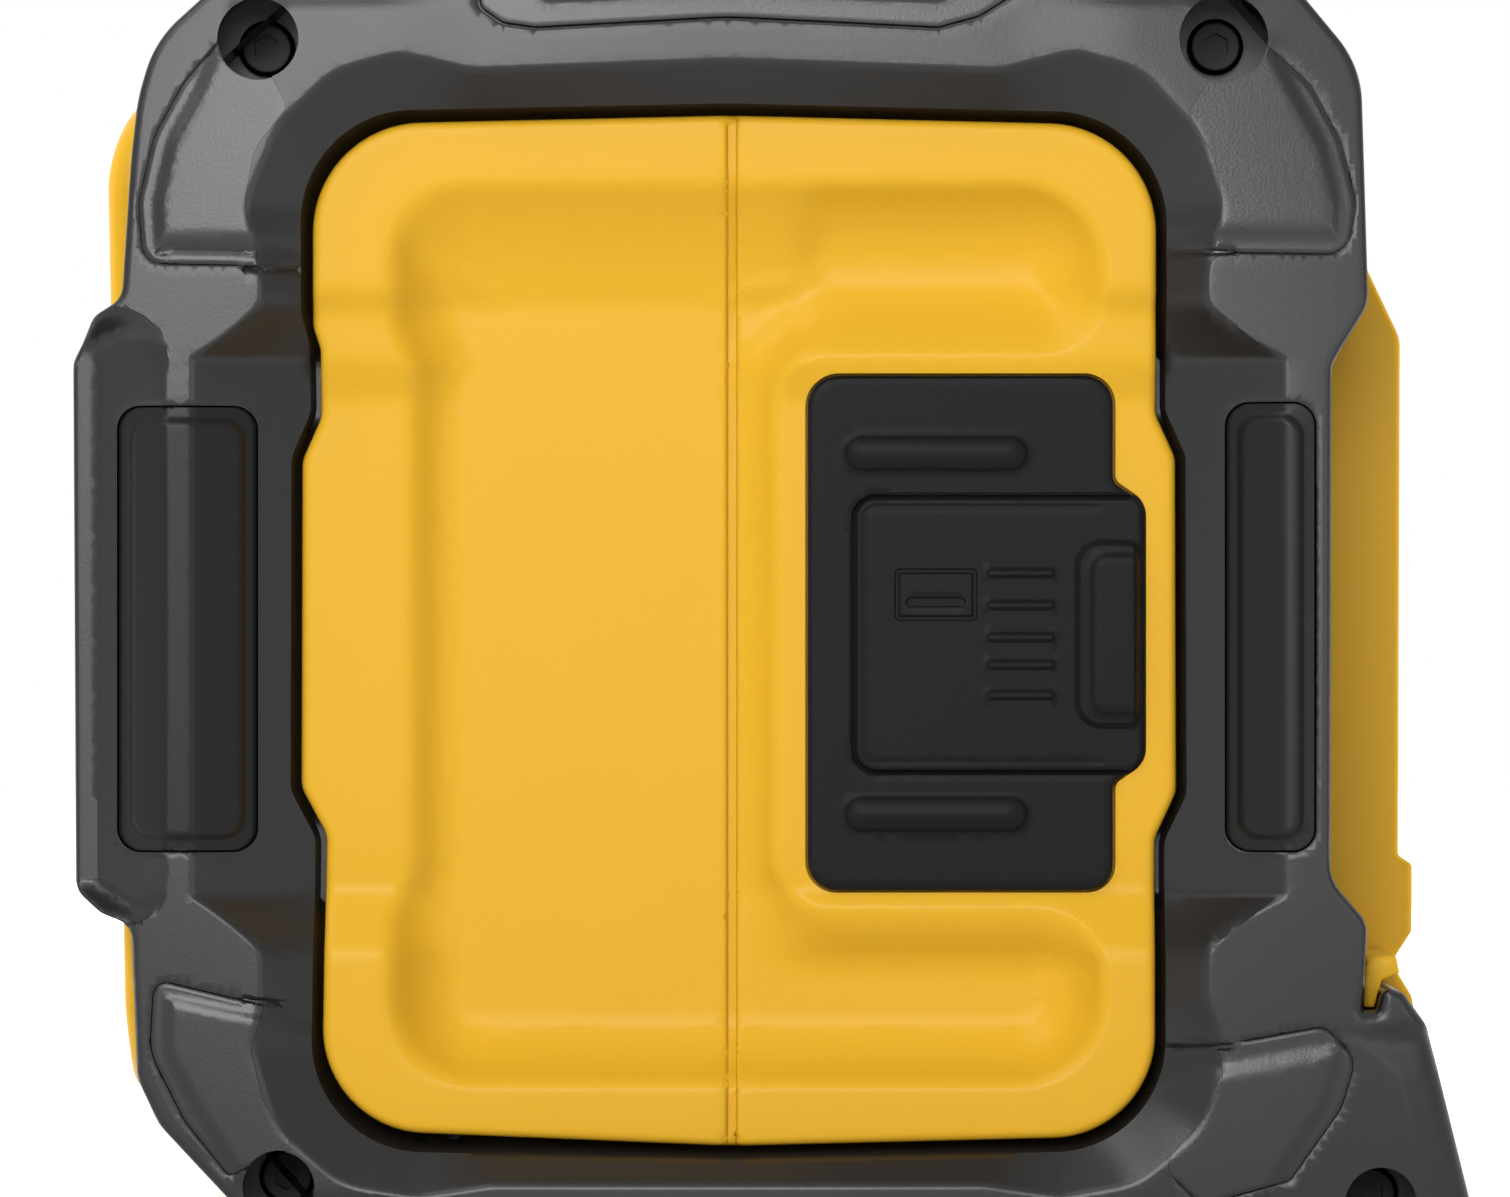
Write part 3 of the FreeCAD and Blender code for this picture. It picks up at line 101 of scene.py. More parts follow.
CORNER_PADS = {
    "pad_front_top": [
        (-58.6, 129.2, 1), (-62.6, 124.4, 6), (-65.6, 118.9, 8), (-67.2, 112.0, 5),
        (-66.7, 105.4, 2.6), (-54.7, 105.2, 0.4), (-54.7, 107.0, 3), (-56.0, 111.8, 4),
        (-54.9, 117.6, 6), (-51.4, 122.0, 1), (-53.2, 125.4, 1)],
    "pad_rear_top": [
        (50.9, 129.2, 1), (56.2, 124.3, 6), (59.2, 118.6, 8), (60.9, 112.0, 5),
        (60.0, 106.4, 2.6), (45.6, 106.6, 0.4), (45.7, 108.4, 3), (46.9, 111.5, 4),
        (46.0, 116.6, 6), (43.2, 121.4, 1), (45.8, 125.3, 1)],
    "pad_front_low": [
        (-65.6, 30.4, 1.6), (-53.9, 27.6, 0.6), (-55.3, 22.8, 3), (-54.0, 17.4, 4),
        (-50.6, 12.4, 1), (-53.4, 11.6, 1), (-57.6, 9.4, 1), (-62.4, 15.4, 6),
        (-66.0, 22.6, 6)],
    "pad_rear_low": [
        (46.4, 23.4, 0.8), (57.6, 25.4, 2.0), (61.0, 22.0, 3), (59.4, 16.6, 6),
        (54.0, 9.0, 1), (44.6, 6.4, 1), (40.4, 10.6, 2), (45.2, 16.0, 3), (46.9, 20.0, 2)]}
RIB = [
    (62.1, 32.6, 0.3), (61.9, 27.1, 0.3), (63.15, 27.1, 0.3), (63.8, 29.9, 0.5), (65.8, 30.6, 0.5),
    (65.4, 32.6, 0.3)]

# Where the raised fields of the pads end
LIFT_LINES = {
    "top": [(-27.0, 150.0, 1), (-27.0, 135.4, 2), (-24.6, 132.7, 2), (-5.2, 133.6, 40),
            (17.0, 132.7, 2), (22.8, 135.4, 3), (23.4, 150.0, 1)],
    "pad_front_top": [
        (-57.2, 134.0, 2), (-61.4, 124.0, 6), (-64.3, 118.6, 8), (-65.8, 112.0, 5),
        (-65.4, 104.0, 3), (-20.0, 104.0, 1), (-20.0, 134.0, 1)],
    "pad_rear_top": [
        (49.6, 134.0, 2), (55.0, 123.8, 6), (58.0, 118.3, 8), (59.6, 112.0, 5),
        (59.0, 104.0, 3), (16.0, 104.0, 1), (16.0, 134.0, 1)],
    "pad_front_low": [
        (-64.6, 33.0, 3), (-64.8, 22.4, 6), (-61.2, 15.6, 6), (-55.0, 6.0, 2),
        (-20.0, 6.0, 1), (-20.0, 33.0, 1)],
    "pad_rear_low": [
        (59.6, 27.0, 3), (59.7, 22.0, 3), (58.2, 16.8, 6), (50.0, 4.0, 2),
        (16.0, 4.0, 1), (16.0, 27.0, 1)]}
# Boxes seen along X: (y0, z0, y1, z1)
GRIPS = {"grip_front": (-69.6, 43.6, -54.7, 90.6), "grip_rear": (47.2, 43.6, 56.7, 91.0)}
PORT_MOUTH = (11.8, 56.8, 33.4, 76.2)
SIGN = (12.4, 67.9, 21.2, 73.5)
SIGN_BAR = (13.5, 69.2, 20.1, 70.6)
PLUG = (13.2, 57.7, 32.4, 75.3)
PLUG_BORE = (14.6, 59.1, 31.0, 73.9)
TOP_NOTCH = (-31.5, 139.6, 27.4, 143.0)
TOP_WRAP = (-40.0, 139.8, 40.0, 146.0)

# Screw holes (y, z, radius), moulded bars (y0, y1, z, radius) and lines from point to point
SCREWS = [(-54.6, 129.2, 4.3), (47.0, 129.2, 4.7), (-52.4, 8.4, 3.8), (63.6, 6.6, 3.8)]
BARS = [(7.1, 26.6, 85.6, 1.9), (7.1, 26.6, 47.5, 1.9)]
RIBS = [(22.0, 29.6, z, 0.6) for z in (73.0, 69.6, 66.2, 63.3, 60.1)]
CREASES = [
    ((39.0, 106.5), (48.0, 106.8)), ((40.2, 22.8), (47.5, 23.2)),
    ((-52.5, 27.6), (-56.0, 28.2)), ((-49.9, 104.9), (-56.0, 104.9))]
HIDDEN_SEAMS = [
    ((-51.0, 121.6), (-53.6, 126.0)), ((42.8, 121.0), (46.2, 126.0)), ((-50.2, 12.6), (-53.8, 11.4))]
FOLDS = [
    ((-64.0, 41.0), (-64.0, 95.0)), ((-61.5, 39.0), (-61.5, 95.6)), ((-61.5, 95.6), (-54.4, 101.3)),
    ((-61.5, 39.0), (-54.4, 33.3)), ((-61.5, 95.6), (-50.0, 95.6)), ((-61.5, 39.0), (-50.0, 39.0)),
    ((53.4, 39.0), (53.4, 95.6)), ((53.4, 95.6), (45.6, 101.5)), ((53.4, 39.0), (45.6, 33.1)),
    ((53.4, 95.6), (43.0, 95.6)), ((53.4, 39.0), (43.0, 39.0))]

# Offsets of the mesh rows beside a crest, a fold and the seam, in millimetres
CREST_ROWS = (-0.5, -0.25, 0, 0.25, 0.5)
FOLD_ROWS = (-0.4, -0.2, 0, 0.2, 0.4)
SEAM_ROWS = (-0.93, -0.77, -0.6, -0.47, -0.34, -0.1, 0.62, 0.74, 0.86, 1.2)

# Depths below a face and gaps between pieces, in millimetres
PAD_POCKET = 3.4
GRIP_POCKET = 9.0
TOP_POCKET = 2.4
PLAY = 0.1
PAD_GAP = 0.16
BORE_DEPTH = 27.0
BORE_MOUTH = 3.6
BORE_SPREAD = 1.3
COVER_SEAT = 2.8
COVER_BACK = 2.7
FLAP_SEAT = 2.0
FLAP_BACK = 1.65
PLUG_LENGTH = 2.2
TOP_STEP = 6.0
LIP = 0.2
SEAM_HALF = 0.5
WELD = 2e-6

# Pattern sizes in millimetres; the threads are drawn twice as coarse as real ones, so that they show
THREAD = 0.31416
ROLLING = 0.25


# Outlines and distances
def rounded(line, step=0.8):
    """Points along a closed outline whose corners are rounded."""
    points = np.array([p[:2] for p in line], float)
    corners = []
    for i, p in enumerate(points):
        a, b = points[i - 1], points[(i + 1) % len(points)]
        into, away = p - a, b - p
        reach = min(np.linalg.norm(into), np.linalg.norm(away))
        into, away = into / np.linalg.norm(into), away / np.linalg.norm(away)
        bend = math.atan2(into[0] * away[1] - into[1] * away[0], into @ away)
        cut = min(line[i][2] * math.tan(abs(bend) / 2), 0.55 * reach)
        if cut < 1e-4:
            corners.append(p[None])
            continue
        r = cut / math.tan(abs(bend) / 2)
        first = p - into * cut
        side = math.copysign(1, bend)
        centre = first + side * r * np.array([-into[1], into[0]])
        count = max(2, math.ceil(r * abs(bend) / step), math.ceil(abs(bend) / 0.2))
        turn = np.linspace(0, bend, count + 1)
        arm = first - centre
        corners.append(centre + np.stack([
            arm[0] * np.cos(turn) - arm[1] * np.sin(turn),
            arm[0] * np.sin(turn) + arm[1] * np.cos(turn)], 1))
    loop = []
    for i, corner in enumerate(corners):
        loop.extend(corner)
        following = corners[(i + 1) % len(corners)][0]
        gap = np.linalg.norm(following - corner[-1])
        inner = np.linspace(0, 1, max(1, round(gap / step)) + 1)[1:-1, None]
        loop.extend(corner[-1] + (following - corner[-1]) * inner)
    loop = np.array(loop)
    keep = np.linalg.norm(loop - np.roll(loop, 1, 0), axis=1) > 1e-3
    loop = loop[keep]
    y, z = loop.T
    turned = (y * np.roll(z, -1) - np.roll(y, -1) * z).sum() < 0
    return loop[::-1] if turned else loop


def box_line(box, radius):
    """Corners of a box with round corners."""
    y0, z0, y1, z1 = box
    return [(y0, z0, radius), (y1, z0, radius), (y1, z1, radius), (y0, z1, radius)]


def bar_loop(bar):
    """Outline of a bar with round ends."""
    y0, y1, z, r = bar
    return rounded(box_line((y0, z - r, y1, z + r), r), 0.4)


def depth_in(loop, points):
    """How far points lie inside a closed loop, negative outside."""
    tree = KDTree(len(loop))
    for index, (y, z) in enumerate(loop):
        tree.insert((y, z, 0), index)
    tree.balance()
    near = np.array([tree.find((y, z, 0))[1] for y, z in points], int)
    depth = np.full(len(points), np.inf)
    for first in (near - 1, near):
        a, b = loop[first], loop[(first + 1) % len(loop)]
        d = b - a
        part = np.clip(((points - a) * d).sum(1) / (d * d).sum(1), 0, 1)
        depth = np.minimum(depth, np.linalg.norm(points - a - part[:, None] * d, axis=1))
    return np.where(within(loop, points), depth, -depth)


def within(loop, points):
    """Which points lie inside a closed loop."""
    low, high = loop.min(0), loop.max(0)
    near = ((points >= low) & (points <= high)).all(1)
    result = np.zeros(len(points), bool)
    if near.any():
        p = points[near][:, None, :]
        a, b = loop, np.roll(loop, -1, 0)
        over = (a[:, 1] > p[..., 1]) != (b[:, 1] > p[..., 1])
        rise = np.where(b[:, 1] == a[:, 1], 1, b[:, 1] - a[:, 1])
        cross = p[..., 0] < (b[:, 0] - a[:, 0]) * (p[..., 1] - a[:, 1]) / rise + a[:, 0]
        result[near] = (over & cross).sum(1) % 2 == 1
    return result


def between(outer, *holes):
    """A test for points inside one loop and outside others."""
    return lambda points: within(outer, points) & ~np.any([within(hole, points) for hole in holes], 0)


def flat(level):
    """A floor at one level."""
    return lambda points: np.full(len(points), level)


def nearest(*levels):
    """A floor at the level of the nearest loop, from (loop, level) pairs."""
    def floor(points):
        gaps = np.array([np.abs(depth_in(loop, points)) for loop, _ in levels])
        return np.array([level for _, level in levels], float)[gaps.argmin(0)]
    return floor


def shifted(loop, inward):
    """A counterclockwise loop moved inward along its own normals."""
    tangent = np.roll(loop, -1, 0) - np.roll(loop, 1, 0)
    tangent /= np.linalg.norm(tangent, axis=1)[:, None]
    return loop + inward * np.stack([-tangent[:, 1], tangent[:, 0]], 1)


def inset(loop, inward):
    """The moved loop without the points that a tight corner turns over."""
    moved = shifted(loop, inward)
    return moved[np.abs(depth_in(loop, moved) - inward) < 0.02 + 0.02 * abs(inward)]


def beside(lines, gaps):
    """Rows of points along straight lines, on both sides of each."""
    rows = []
    for a, b in np.array(lines):
        along = b - a
        length = np.linalg.norm(along)
        across = np.array([-along[1], along[0]]) / length
        steps = np.linspace(0, 1, max(2, round(length / 0.6)))[:, None]
        rows += [a + along * steps + across * gap for gap in gaps]
    return rows


def circle(y, z, r):
    """A loop of 36 points."""
    a = np.linspace(0, 2 * math.pi, 37)[:-1]
    return np.stack([y + r * np.cos(a), z + r * np.sin(a)], 1)


def soft_min(a, b, width):
    """The lower of two heights, blended where they meet."""
    mix = np.clip(0.5 + 0.5 * (b - a) / width, 0, 1)
    return b * (1 - mix) + a * mix - width * mix * (1 - mix)


def soft_max(a, b, width):
    """The higher of two heights, blended where they meet."""
    return -soft_min(-a, -b, width)


def ease(t):
    """Smooth step from 0 to 1."""
    t = np.clip(t, 0, 1)
    return t * t * (3 - 2 * t)


def edge_drop(depth, r):
    """Fall of a surface toward an edge rounded to r."""
    d = np.clip(r - depth, 0, r * 0.99)
    return r - np.sqrt(r * r - d * d)


def soft_profile(knots, blur):
    """A function through knots whose corners are rounded over a length."""
    at, value = np.array(knots).T
    grid = np.arange(at[0] - 20, at[-1] + 20, 0.1)
    raw = np.interp(grid, at, value)
    count = int(blur / 0.1) * 2 + 1
    kernel = np.hanning(count + 2)[1:-1]
    smooth = np.convolve(np.pad(raw, count // 2, mode="edge"), kernel / kernel.sum(), mode="valid")
    return lambda v: np.interp(v, grid, smooth)


OUTLINES = {
    "silhouette": rounded(SILHOUETTE), "spigot": rounded(SPIGOT), "window": rounded(WINDOW),
    "foot": rounded(FOOT), "ring_foot": rounded(RING_FOOT), "crest": rounded(CREST),
    "flank": rounded(FLANK), "bevel": rounded(BEVEL), "scoop": rounded(SCOOP),
    "panel": rounded(PANEL, 0.5), "flap": rounded(FLAP, 0.5), "tab": rounded(TAB, 0.5),
    "tab_face": rounded(TAB_FACE, 0.5), "mouth": rounded(box_line(PORT_MOUTH, 2)),
    "top_pad": rounded(TOP_PAD), "sign": rounded(box_line(SIGN, 0.6), 0.4)}
OUTLINES.update({name: rounded(line, 0.6) for name, line in CORNER_PADS.items()})
OUTLINES.update({name: rounded(box_line(box, 2.5), 0.6) for name, box in GRIPS.items()})
OUTLINES.update({"lift_" + name: rounded(line) for name, line in LIFT_LINES.items()})


# Meshes
def thinned(points, fixed, gap):
    """Points that stay a gap away from the fixed ones and each other."""
    cells = {}
    for p in fixed:
        cells.setdefault((int(p[0] // gap), int(p[1] // gap)), []).append(p)
    kept = []
    for p in points:
        cy, cz = int(p[0] // gap), int(p[1] // gap)
        near = (q for i in (-1, 0, 1) for j in (-1, 0, 1) for q in cells.get((cy + i, cz + j), ()))
        if all((p[0] - q[0]) ** 2 + (p[1] - q[1]) ** 2 >= gap * gap for q in near):
            cells.setdefault((cy, cz), []).append(p)
            kept.append(p)
    return np.array(kept).reshape(-1, 2)


def triangulated(loops, extra, keep):
    """Triangles through loops and extra points, where keep holds."""
    points = np.vstack(list(loops) + [extra])
    edges, start = [], 0
    for loop in loops:
        count = len(loop)
        edges += [(start + i, start + (i + 1) % count) for i in range(count)]
        start += count
    verts, _, faces, _, _, _ = delaunay_2d_cdt([Vector(p) for p in points], edges, [], 1, 1e-5)
    verts = np.array([tuple(v) for v in verts])
    faces = np.array(faces)
    faces = faces[keep(verts[faces].mean(1))]
    a, b, c = (verts[faces[:, k]] for k in range(3))
    area = (b[:, 0] - a[:, 0]) * (c[:, 1] - a[:, 1]) - (b[:, 1] - a[:, 1]) * (c[:, 0] - a[:, 0])
    faces[area < 0] = faces[area < 0][:, ::-1]
    faces = faces[np.abs(area) > 1e-7]
    used = np.unique(faces)
    renumber = np.zeros(len(verts), int)
    renumber[used] = np.arange(len(used))
    return verts[used], renumber[faces]


class Shell:
    """Faces of one piece, in millimetres, gathered and then welded."""

    def __init__(self):
        self.points = []
        self.faces = []

    def add(self, points, faces, flip=False):
        """Take up points and the faces between them."""
        start = len(self.points)
        self.points.extend(map(tuple, points))
        for face in faces:
            face = [start + int(i) for i in face]
            self.faces.append(face[::-1] if flip else face)

    def carve(self, loops, keep, height, rows, pitch, floor, more=()):
        """A carved face where keep holds, with walls under all its edges."""
        fixed = np.vstack(loops)
        low, high = fixed.min(0), fixed.max(0)
        y, z = np.meshgrid(np.arange(low[0], high[0], pitch), np.arange(low[1], high[1], pitch))
        y[1::2] += pitch / 2
        grid = np.stack([y.ravel(), z.ravel()], 1)
        extra = np.vstack([inset(loop, d) for loop, offsets in rows for d in offsets] + list(more))
        extra = thinned(extra[keep(extra)], fixed, 0.1)
        grid = thinned(grid[keep(grid)], np.vstack([fixed, extra]), pitch * 0.62)
        verts, faces = triangulated(loops, np.vstack([extra, grid]), keep)
        top = height(verts)
        self.add(np.column_stack([top, verts]), faces)
        edges = set()
        for a, b, c in faces:
            for edge in ((a, b), (b, c), (c, a)):
                if edge[::-1] in edges:
                    edges.remove(edge[::-1])
                else:
                    edges.add(edge)
        edges = np.array(sorted(edges))
        level = floor(verts[edges].mean(1))
        for (i, j), x in zip(edges, level):
            wall = [(top[i], *verts[i]), (x, *verts[i]), (x, *verts[j]), (top[j], *verts[j])]
            self.add(wall, [(0, 1, 2, 3)])

    def wall(self, loop, top, bottom, hole=False, spread=0.0):
        """Wall between two levels under a loop, wider at the bottom by the spread."""
        count = len(loop)
        ends = ((top, loop), (bottom, shifted(loop, -spread)))
        points = np.vstack([np.column_stack([np.full(count, x), line]) for x, line in ends])
        faces = [(i, count + i, count + (i + 1) % count, (i + 1) % count) for i in range(count)]
        self.add(points, faces, hole)

    def plate(self, loops, keep, x, facing):
        """A flat face at one level where keep holds."""
        verts, faces = triangulated(loops, np.zeros((0, 2)), keep)
        self.add(np.column_stack([np.full(len(verts), x), verts]), faces, facing < 0)

    def mesh(self, name, mirror=False):
        """The piece as a mesh, or its mirror image for the other end."""
        points = np.array(self.points) / 1000
        faces = self.faces
        if mirror:
            points[:, 0] *= -1
            faces = [face[::-1] for face in faces]
        mesh = bpy.data.meshes.new(name)
        mesh.from_pydata(points.tolist(), [], faces)
        return mesh


def finished(mesh, sharp=36):
    """Weld a mesh and keep only its real edges sharp."""
    work = bmesh.new()
    work.from_mesh(mesh)
    bmesh.ops.remove_doubles(work, verts=work.verts, dist=WELD)
    work.to_mesh(mesh)
    work.free()
    mesh.polygons.foreach_set("use_smooth", [True] * len(mesh.polygons))
    mesh.set_sharp_from_angle(angle=math.radians(sharp))
    return mesh


def place(name, mesh, material, body="case", nodes=()):
    """Put a piece on its body in place of its CAD nodes."""
    piece = in_scene(name, mesh)
    mesh.materials.clear()
    mesh.materials.append(material)
    piece.modifiers.new("normals", "WEIGHTED_NORMAL").keep_sharp = True
    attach(piece, body)
    if nodes:
        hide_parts(*nodes)
    return piece


# Surfaces of the end
def yellow_height(points, groove):
    """Carved end of the yellow housing."""
    s = sizes()
    y, z = points.T
    rim, band, floor = s.rim, s.band, s.scoop
    # Margin: at the rim above and below, at the band beside the grips
    top = soft_profile([
        (24.0, rim), (33.0, rim), (39.4, band - 0.2), (41.5, band - 0.1), (44.0, band), (91.6, band),
        (95.2, rim - 1.25), (100.8, rim - 1.15), (102.6, rim), (110.0, rim)], 1.1)(z)
    # Wall of the scoop: long and soft at the upper left, short at the right
    inside = depth_in(OUTLINES["scoop"], points)
    top = top + (rim - top) * ease(inside / 3.5) * ease(y / 8)
    low_side = ease((40 - z) / 12)
    high_side = ease((z - 92) / 12) * ease(1.2 - (114 - z - inside) / 5)
    left = ease((-34 - y) / 4)
    reach = (top - floor) * (1.55 + 1.2 * high_side - 0.25 * low_side)
    reach += (8.4 - reach) * ease(y / 6) * ease((z - 60) / 20)
    soft = 0.9 + 0.5 * left
    into = soft_max(inside, np.zeros_like(inside), soft)
    fall = 1 - (1 - np.clip(into / reach, 0, 1)) ** 2.1
    height = top - (top - floor) * fall
    height -= edge_drop(depth_in(OUTLINES["window"], points), 0.9)
    # Seam: a groove along the front half, a rounded edge on the rear half
    if groove:
        cut = np.minimum(0.6, height - s.shoulder - 0.4)
        return height - cut * ease((y - s.seam + 0.6) / 0.26) - 0.12 * ease((y - s.seam + 0.93) / 0.33)
    return height - edge_drop(y - s.seam - SEAM_HALF, 0.36)


def slope_plane(points):
    """Black slope from the crest down to the window."""
    s = sizes()
    y, z = points.T
    drop = s.face - s.slope
    # Above and below, the slope runs from the crest to the ring's foot
    crest = depth_in(OUTLINES["crest"], points)
    foot = -depth_in(OUTLINES["ring_foot"], points)
    ring = s.face - (s.face - s.ring) * crest / np.maximum(crest + foot, 0.5)
    # Beside the window it falls evenly along y, and the two are blended at the corners
    left = (np.minimum(y, -38) + 61.5) / (61.5 - 50.95)
    right = (53.4 - np.maximum(y, 38)) / (53.4 - 42.75)
    middle = s.face - drop * np.where(y < -5, left, right)
    share = soft_max((np.abs(z - 67.3) - 28.3) / 5.7, np.zeros(len(z)), 0.08)
    share = soft_min(share, np.ones(len(z)), 0.15)
    return middle * (1 - share) + ring * share


def raised(points):
    """Lift of the corner pads above the frame's face."""
    y, z = points.T
    lift = np.zeros(len(points))
    for corner in CORNER_PADS:
        side = -1 if "front" in corner else 1
        upper = "top" in corner
        d = depth_in(OUTLINES["lift_" + corner], points)
        if upper:
            end = z - (106.8 if side < 0 else 107.6)
            ramp = 2.2
        elif side < 0:
            end = 29.0 - (y + 65) * 0.2 - z
            ramp = 1.3
        else:
            end = 23.7 + (y - 58) * 0.2 - z
            ramp = 1.8
        fade = ease((np.abs(y + 3) - 27) / 14)
        lift = np.maximum(lift, fade * np.minimum(ease(d / 1.5), ease(end / ramp)))
    return lift


def bow(points):
    """Fall of the face toward the corners."""
    reach = np.hypot(points[:, 0] + 4.8, points[:, 1] - 67.0)
    return 0.0017 * np.maximum(reach - 52, 0) ** 2


def frame_height(points):
    """Carved face of an end frame."""
    s = sizes()
    y, z = points.T
    face = s.face + s.lift * raised(points) - bow(points)
    height = soft_min(face, slope_plane(points) + (face - s.face), 0.5)
    height = height - 0.25 * ease((capsule(points, (-65.0, 106.75), (-50.0, 106.75), 0.2) + 0.15) / 0.25)
    # Flank outside the front grip, sharp beside it and soft at its ends
    in_flank = depth_in(OUTLINES["flank"], points)
    flank = np.interp(y, [-71.7, -64.0, -60.0], [s.face - 5.9, s.face + 0.1, s.face + 3.2])
    flank = soft_max(flank, s.face - 1.6 * np.maximum(in_flank, 0), 1.0)
    soft = 0.5 + 1.6 * ease((np.abs(z - 68.3) - 25) / 4)
    height = np.where(in_flank > 0, soft_min(height, flank, soft), height)
    for a, b in CREASES:
        height = height - 0.45 * ease((capsule(points, a, b, 0.3) + 0.15) / 0.3)
    # Bevel of the low rear foot
    beyond = soft_max(-depth_in(OUTLINES["bevel"], points), np.zeros(len(y)), 0.6)
    height = height - 0.27 * beyond * ease((y - 58) / 3) * ease((25.5 - z) / 2)
    # Outer edge: sharper on the bumper, wide and soft on the low rear foot
    outer = depth_in(OUTLINES["silhouette"], points)
    bumper = ease((z - 37) / 3) * ease((100 - z) / 3) * ease((-66 - y) / 3)
    low = ease((32 - z) / 8) * ease((y - 50) / 6)
    r = 0.6 - 0.15 * bumper + 0.9 * low
    return height - edge_drop(outer, r)


def panel_height(points):
    """Rubber cover around the flap, with its two bars."""
    s = sizes()
    height = s.panel - edge_drop(depth_in(OUTLINES["panel"], points), 0.5)
    for y0, y1, z, r in BARS:
        d = capsule(points, (y0 + r, z), (y1 - r, z), r)
        height = height + 0.45 * ease((d + 0.1) / 0.6) + 0.4 * ease(d / 1.9)
    return height


def capsule(points, a, b, r):
    """Depth inside a bar with round ends."""
    a, b = np.array(a), np.array(b)
    d = b - a
    t = np.clip(((points - a) @ d) / (d @ d), 0, 1)
    return r - np.linalg.norm(points - a - t[:, None] * d, axis=1)


def flap_height(points):
    """Rubber flap with its pull tab, ribs and a plain socket sign."""
    s = sizes()
    rim = depth_in(OUTLINES["flap"], points)
    height = s.panel - edge_drop(rim, 0.45)
    shown = ease((35.0 - points[:, 0]) / 2)
    height = height - 0.12 * shown * (ease((rim - 0.55) / 0.25) - ease((rim - 0.95) / 0.3))
    tab = depth_in(OUTLINES["tab"], points)
    inner = depth_in(OUTLINES["tab_face"], points)
    height = height + 0.75 * ease(tab / 0.7) + 0.45 * ease(inner / 0.6)
    for y0, y1, z, r in RIBS:
        height = height + 0.4 * ease((capsule(points, (y0 + 0.7, z), (y1 - 0.7, z), r - 0.1) + 0.1) / 0.4)
    outer = depth_in(OUTLINES["sign"], points)
    line = ease(outer / 0.15) - ease((outer - 0.5) / 0.15)
    bar = ease((capsule(points, (14.2, 69.9), (19.4, 69.9), 0.55) + 0.05) / 0.2)
    return height - 0.3 * np.clip(line + bar, 0, 1)


class Sizes:
    """The size properties in millimetres."""

    def __init__(self, group):
        self.group = group

    def __getattr__(self, name):
        return getattr(self.group, name) * 1000


def sizes():
    """The scene's sizes in millimetres."""
    return Sizes(bpy.context.scene.speaker_sizes)


# Materials
def linear(hexcode):
    """Linear colour of an sRGB hex code."""
    parts = [int(hexcode[i:i + 2], 16) / 255 for i in (1, 3, 5)]
    return [c / 12.92 if c <= 0.04045 else ((c + 0.055) / 1.055) ** 2.4 for c in parts] + [1.0]


def add_node(tree, kind, values=None, links=None, **settings):
    """A node with its values, links and settings."""
    node = tree.nodes.new(kind)
    for name, value in settings.items():
        setattr(node, name, value)
    for name, value in (values or {}).items():
        node.inputs[name].default_value = value
    for name, source in (links or {}).items():
        tree.links.new(source, node.inputs[name])
    return node


def surface(name, colour, roughness, metallic=0.0, ior=1.5, tint=0.06, tint_size=18.0,
            grain=0.3, grain_height=0.02, polish=0.05, specular=0.5, sheen=0.0, pattern=None):
    """Procedural material; grain and tint sizes in millimetres."""
    material = bpy.data.materials.new(name)
    material.use_nodes = True
    tree = material.node_tree
    shader = tree.nodes["Principled BSDF"]
    for socket, value in (("Metallic", metallic), ("IOR", ior), ("Specular IOR Level", specular),
                          ("Sheen Weight", sheen)):
        shader.inputs[socket].default_value = value
    place_at = add_node(tree, "ShaderNodeTexCoord").outputs["Object"]
    cloud = add_node(tree, "ShaderNodeTexNoise", {"Scale": 1000 / tint_size, "Detail": 2.0},
                     {"Vector": place_at})
    base = linear(colour)
    dark = [c * (1 - tint) for c in base[:3]] + [1.0]
    light = [min(1, c * (1 + tint)) for c in base[:3]] + [1.0]
    shade = add_node(tree, "ShaderNodeMix", {6: dark, 7: light}, {0: cloud.outputs["Fac"]}, data_type="RGBA")
    tree.links.new(shade.outputs[2], shader.inputs["Base Color"])
    gloss = add_node(tree, "ShaderNodeMapRange",
                     {"To Min": roughness - polish, "To Max": roughness + polish},
                     {"Value": cloud.outputs["Fac"]})
    tree.links.new(gloss.outputs[0], shader.inputs["Roughness"])
    if pattern:
        height = pattern(tree, place_at)
    else:
        speck = add_node(tree, "ShaderNodeTexNoise", {"Scale": 1000 / grain, "Detail": 3.0, "Roughness": 0.6},
                         {"Vector": place_at})
        height = speck.outputs["Fac"]
    bump = add_node(tree, "ShaderNodeBump", {"Strength": 1.0, "Distance": grain_height / 1000},
                    {"Height": height})
    tree.links.new(bump.outputs["Normal"], shader.inputs["Normal"])
    return material


def woven(tree, place_at):
    """Plain weave, threads THREAD apart; the wave node has 20 / tau bands to a unit."""
    scale = 1000 / THREAD * math.tau / 20
    threads = [add_node(tree, "ShaderNodeTexWave", {"Scale": scale, "Distortion": 0.6},
                        {"Vector": place_at}, bands_direction=axis).outputs["Fac"] for axis in ("X", "Z")]
    return add_node(tree, "ShaderNodeMath", links=dict(enumerate(threads)), operation="MAXIMUM").outputs[0]


def rolled(tree, place_at):
    """Fine parallel lines, as on rolled or drawn metal."""
    stretch = add_node(tree, "ShaderNodeMapping", {"Scale": (0.05, 1.0, 1.0)}, {"Vector": place_at})
    lines = add_node(tree, "ShaderNodeTexNoise", {"Scale": 1000 / ROLLING}, {"Vector": stretch.outputs[0]})
    return lines.outputs["Fac"]


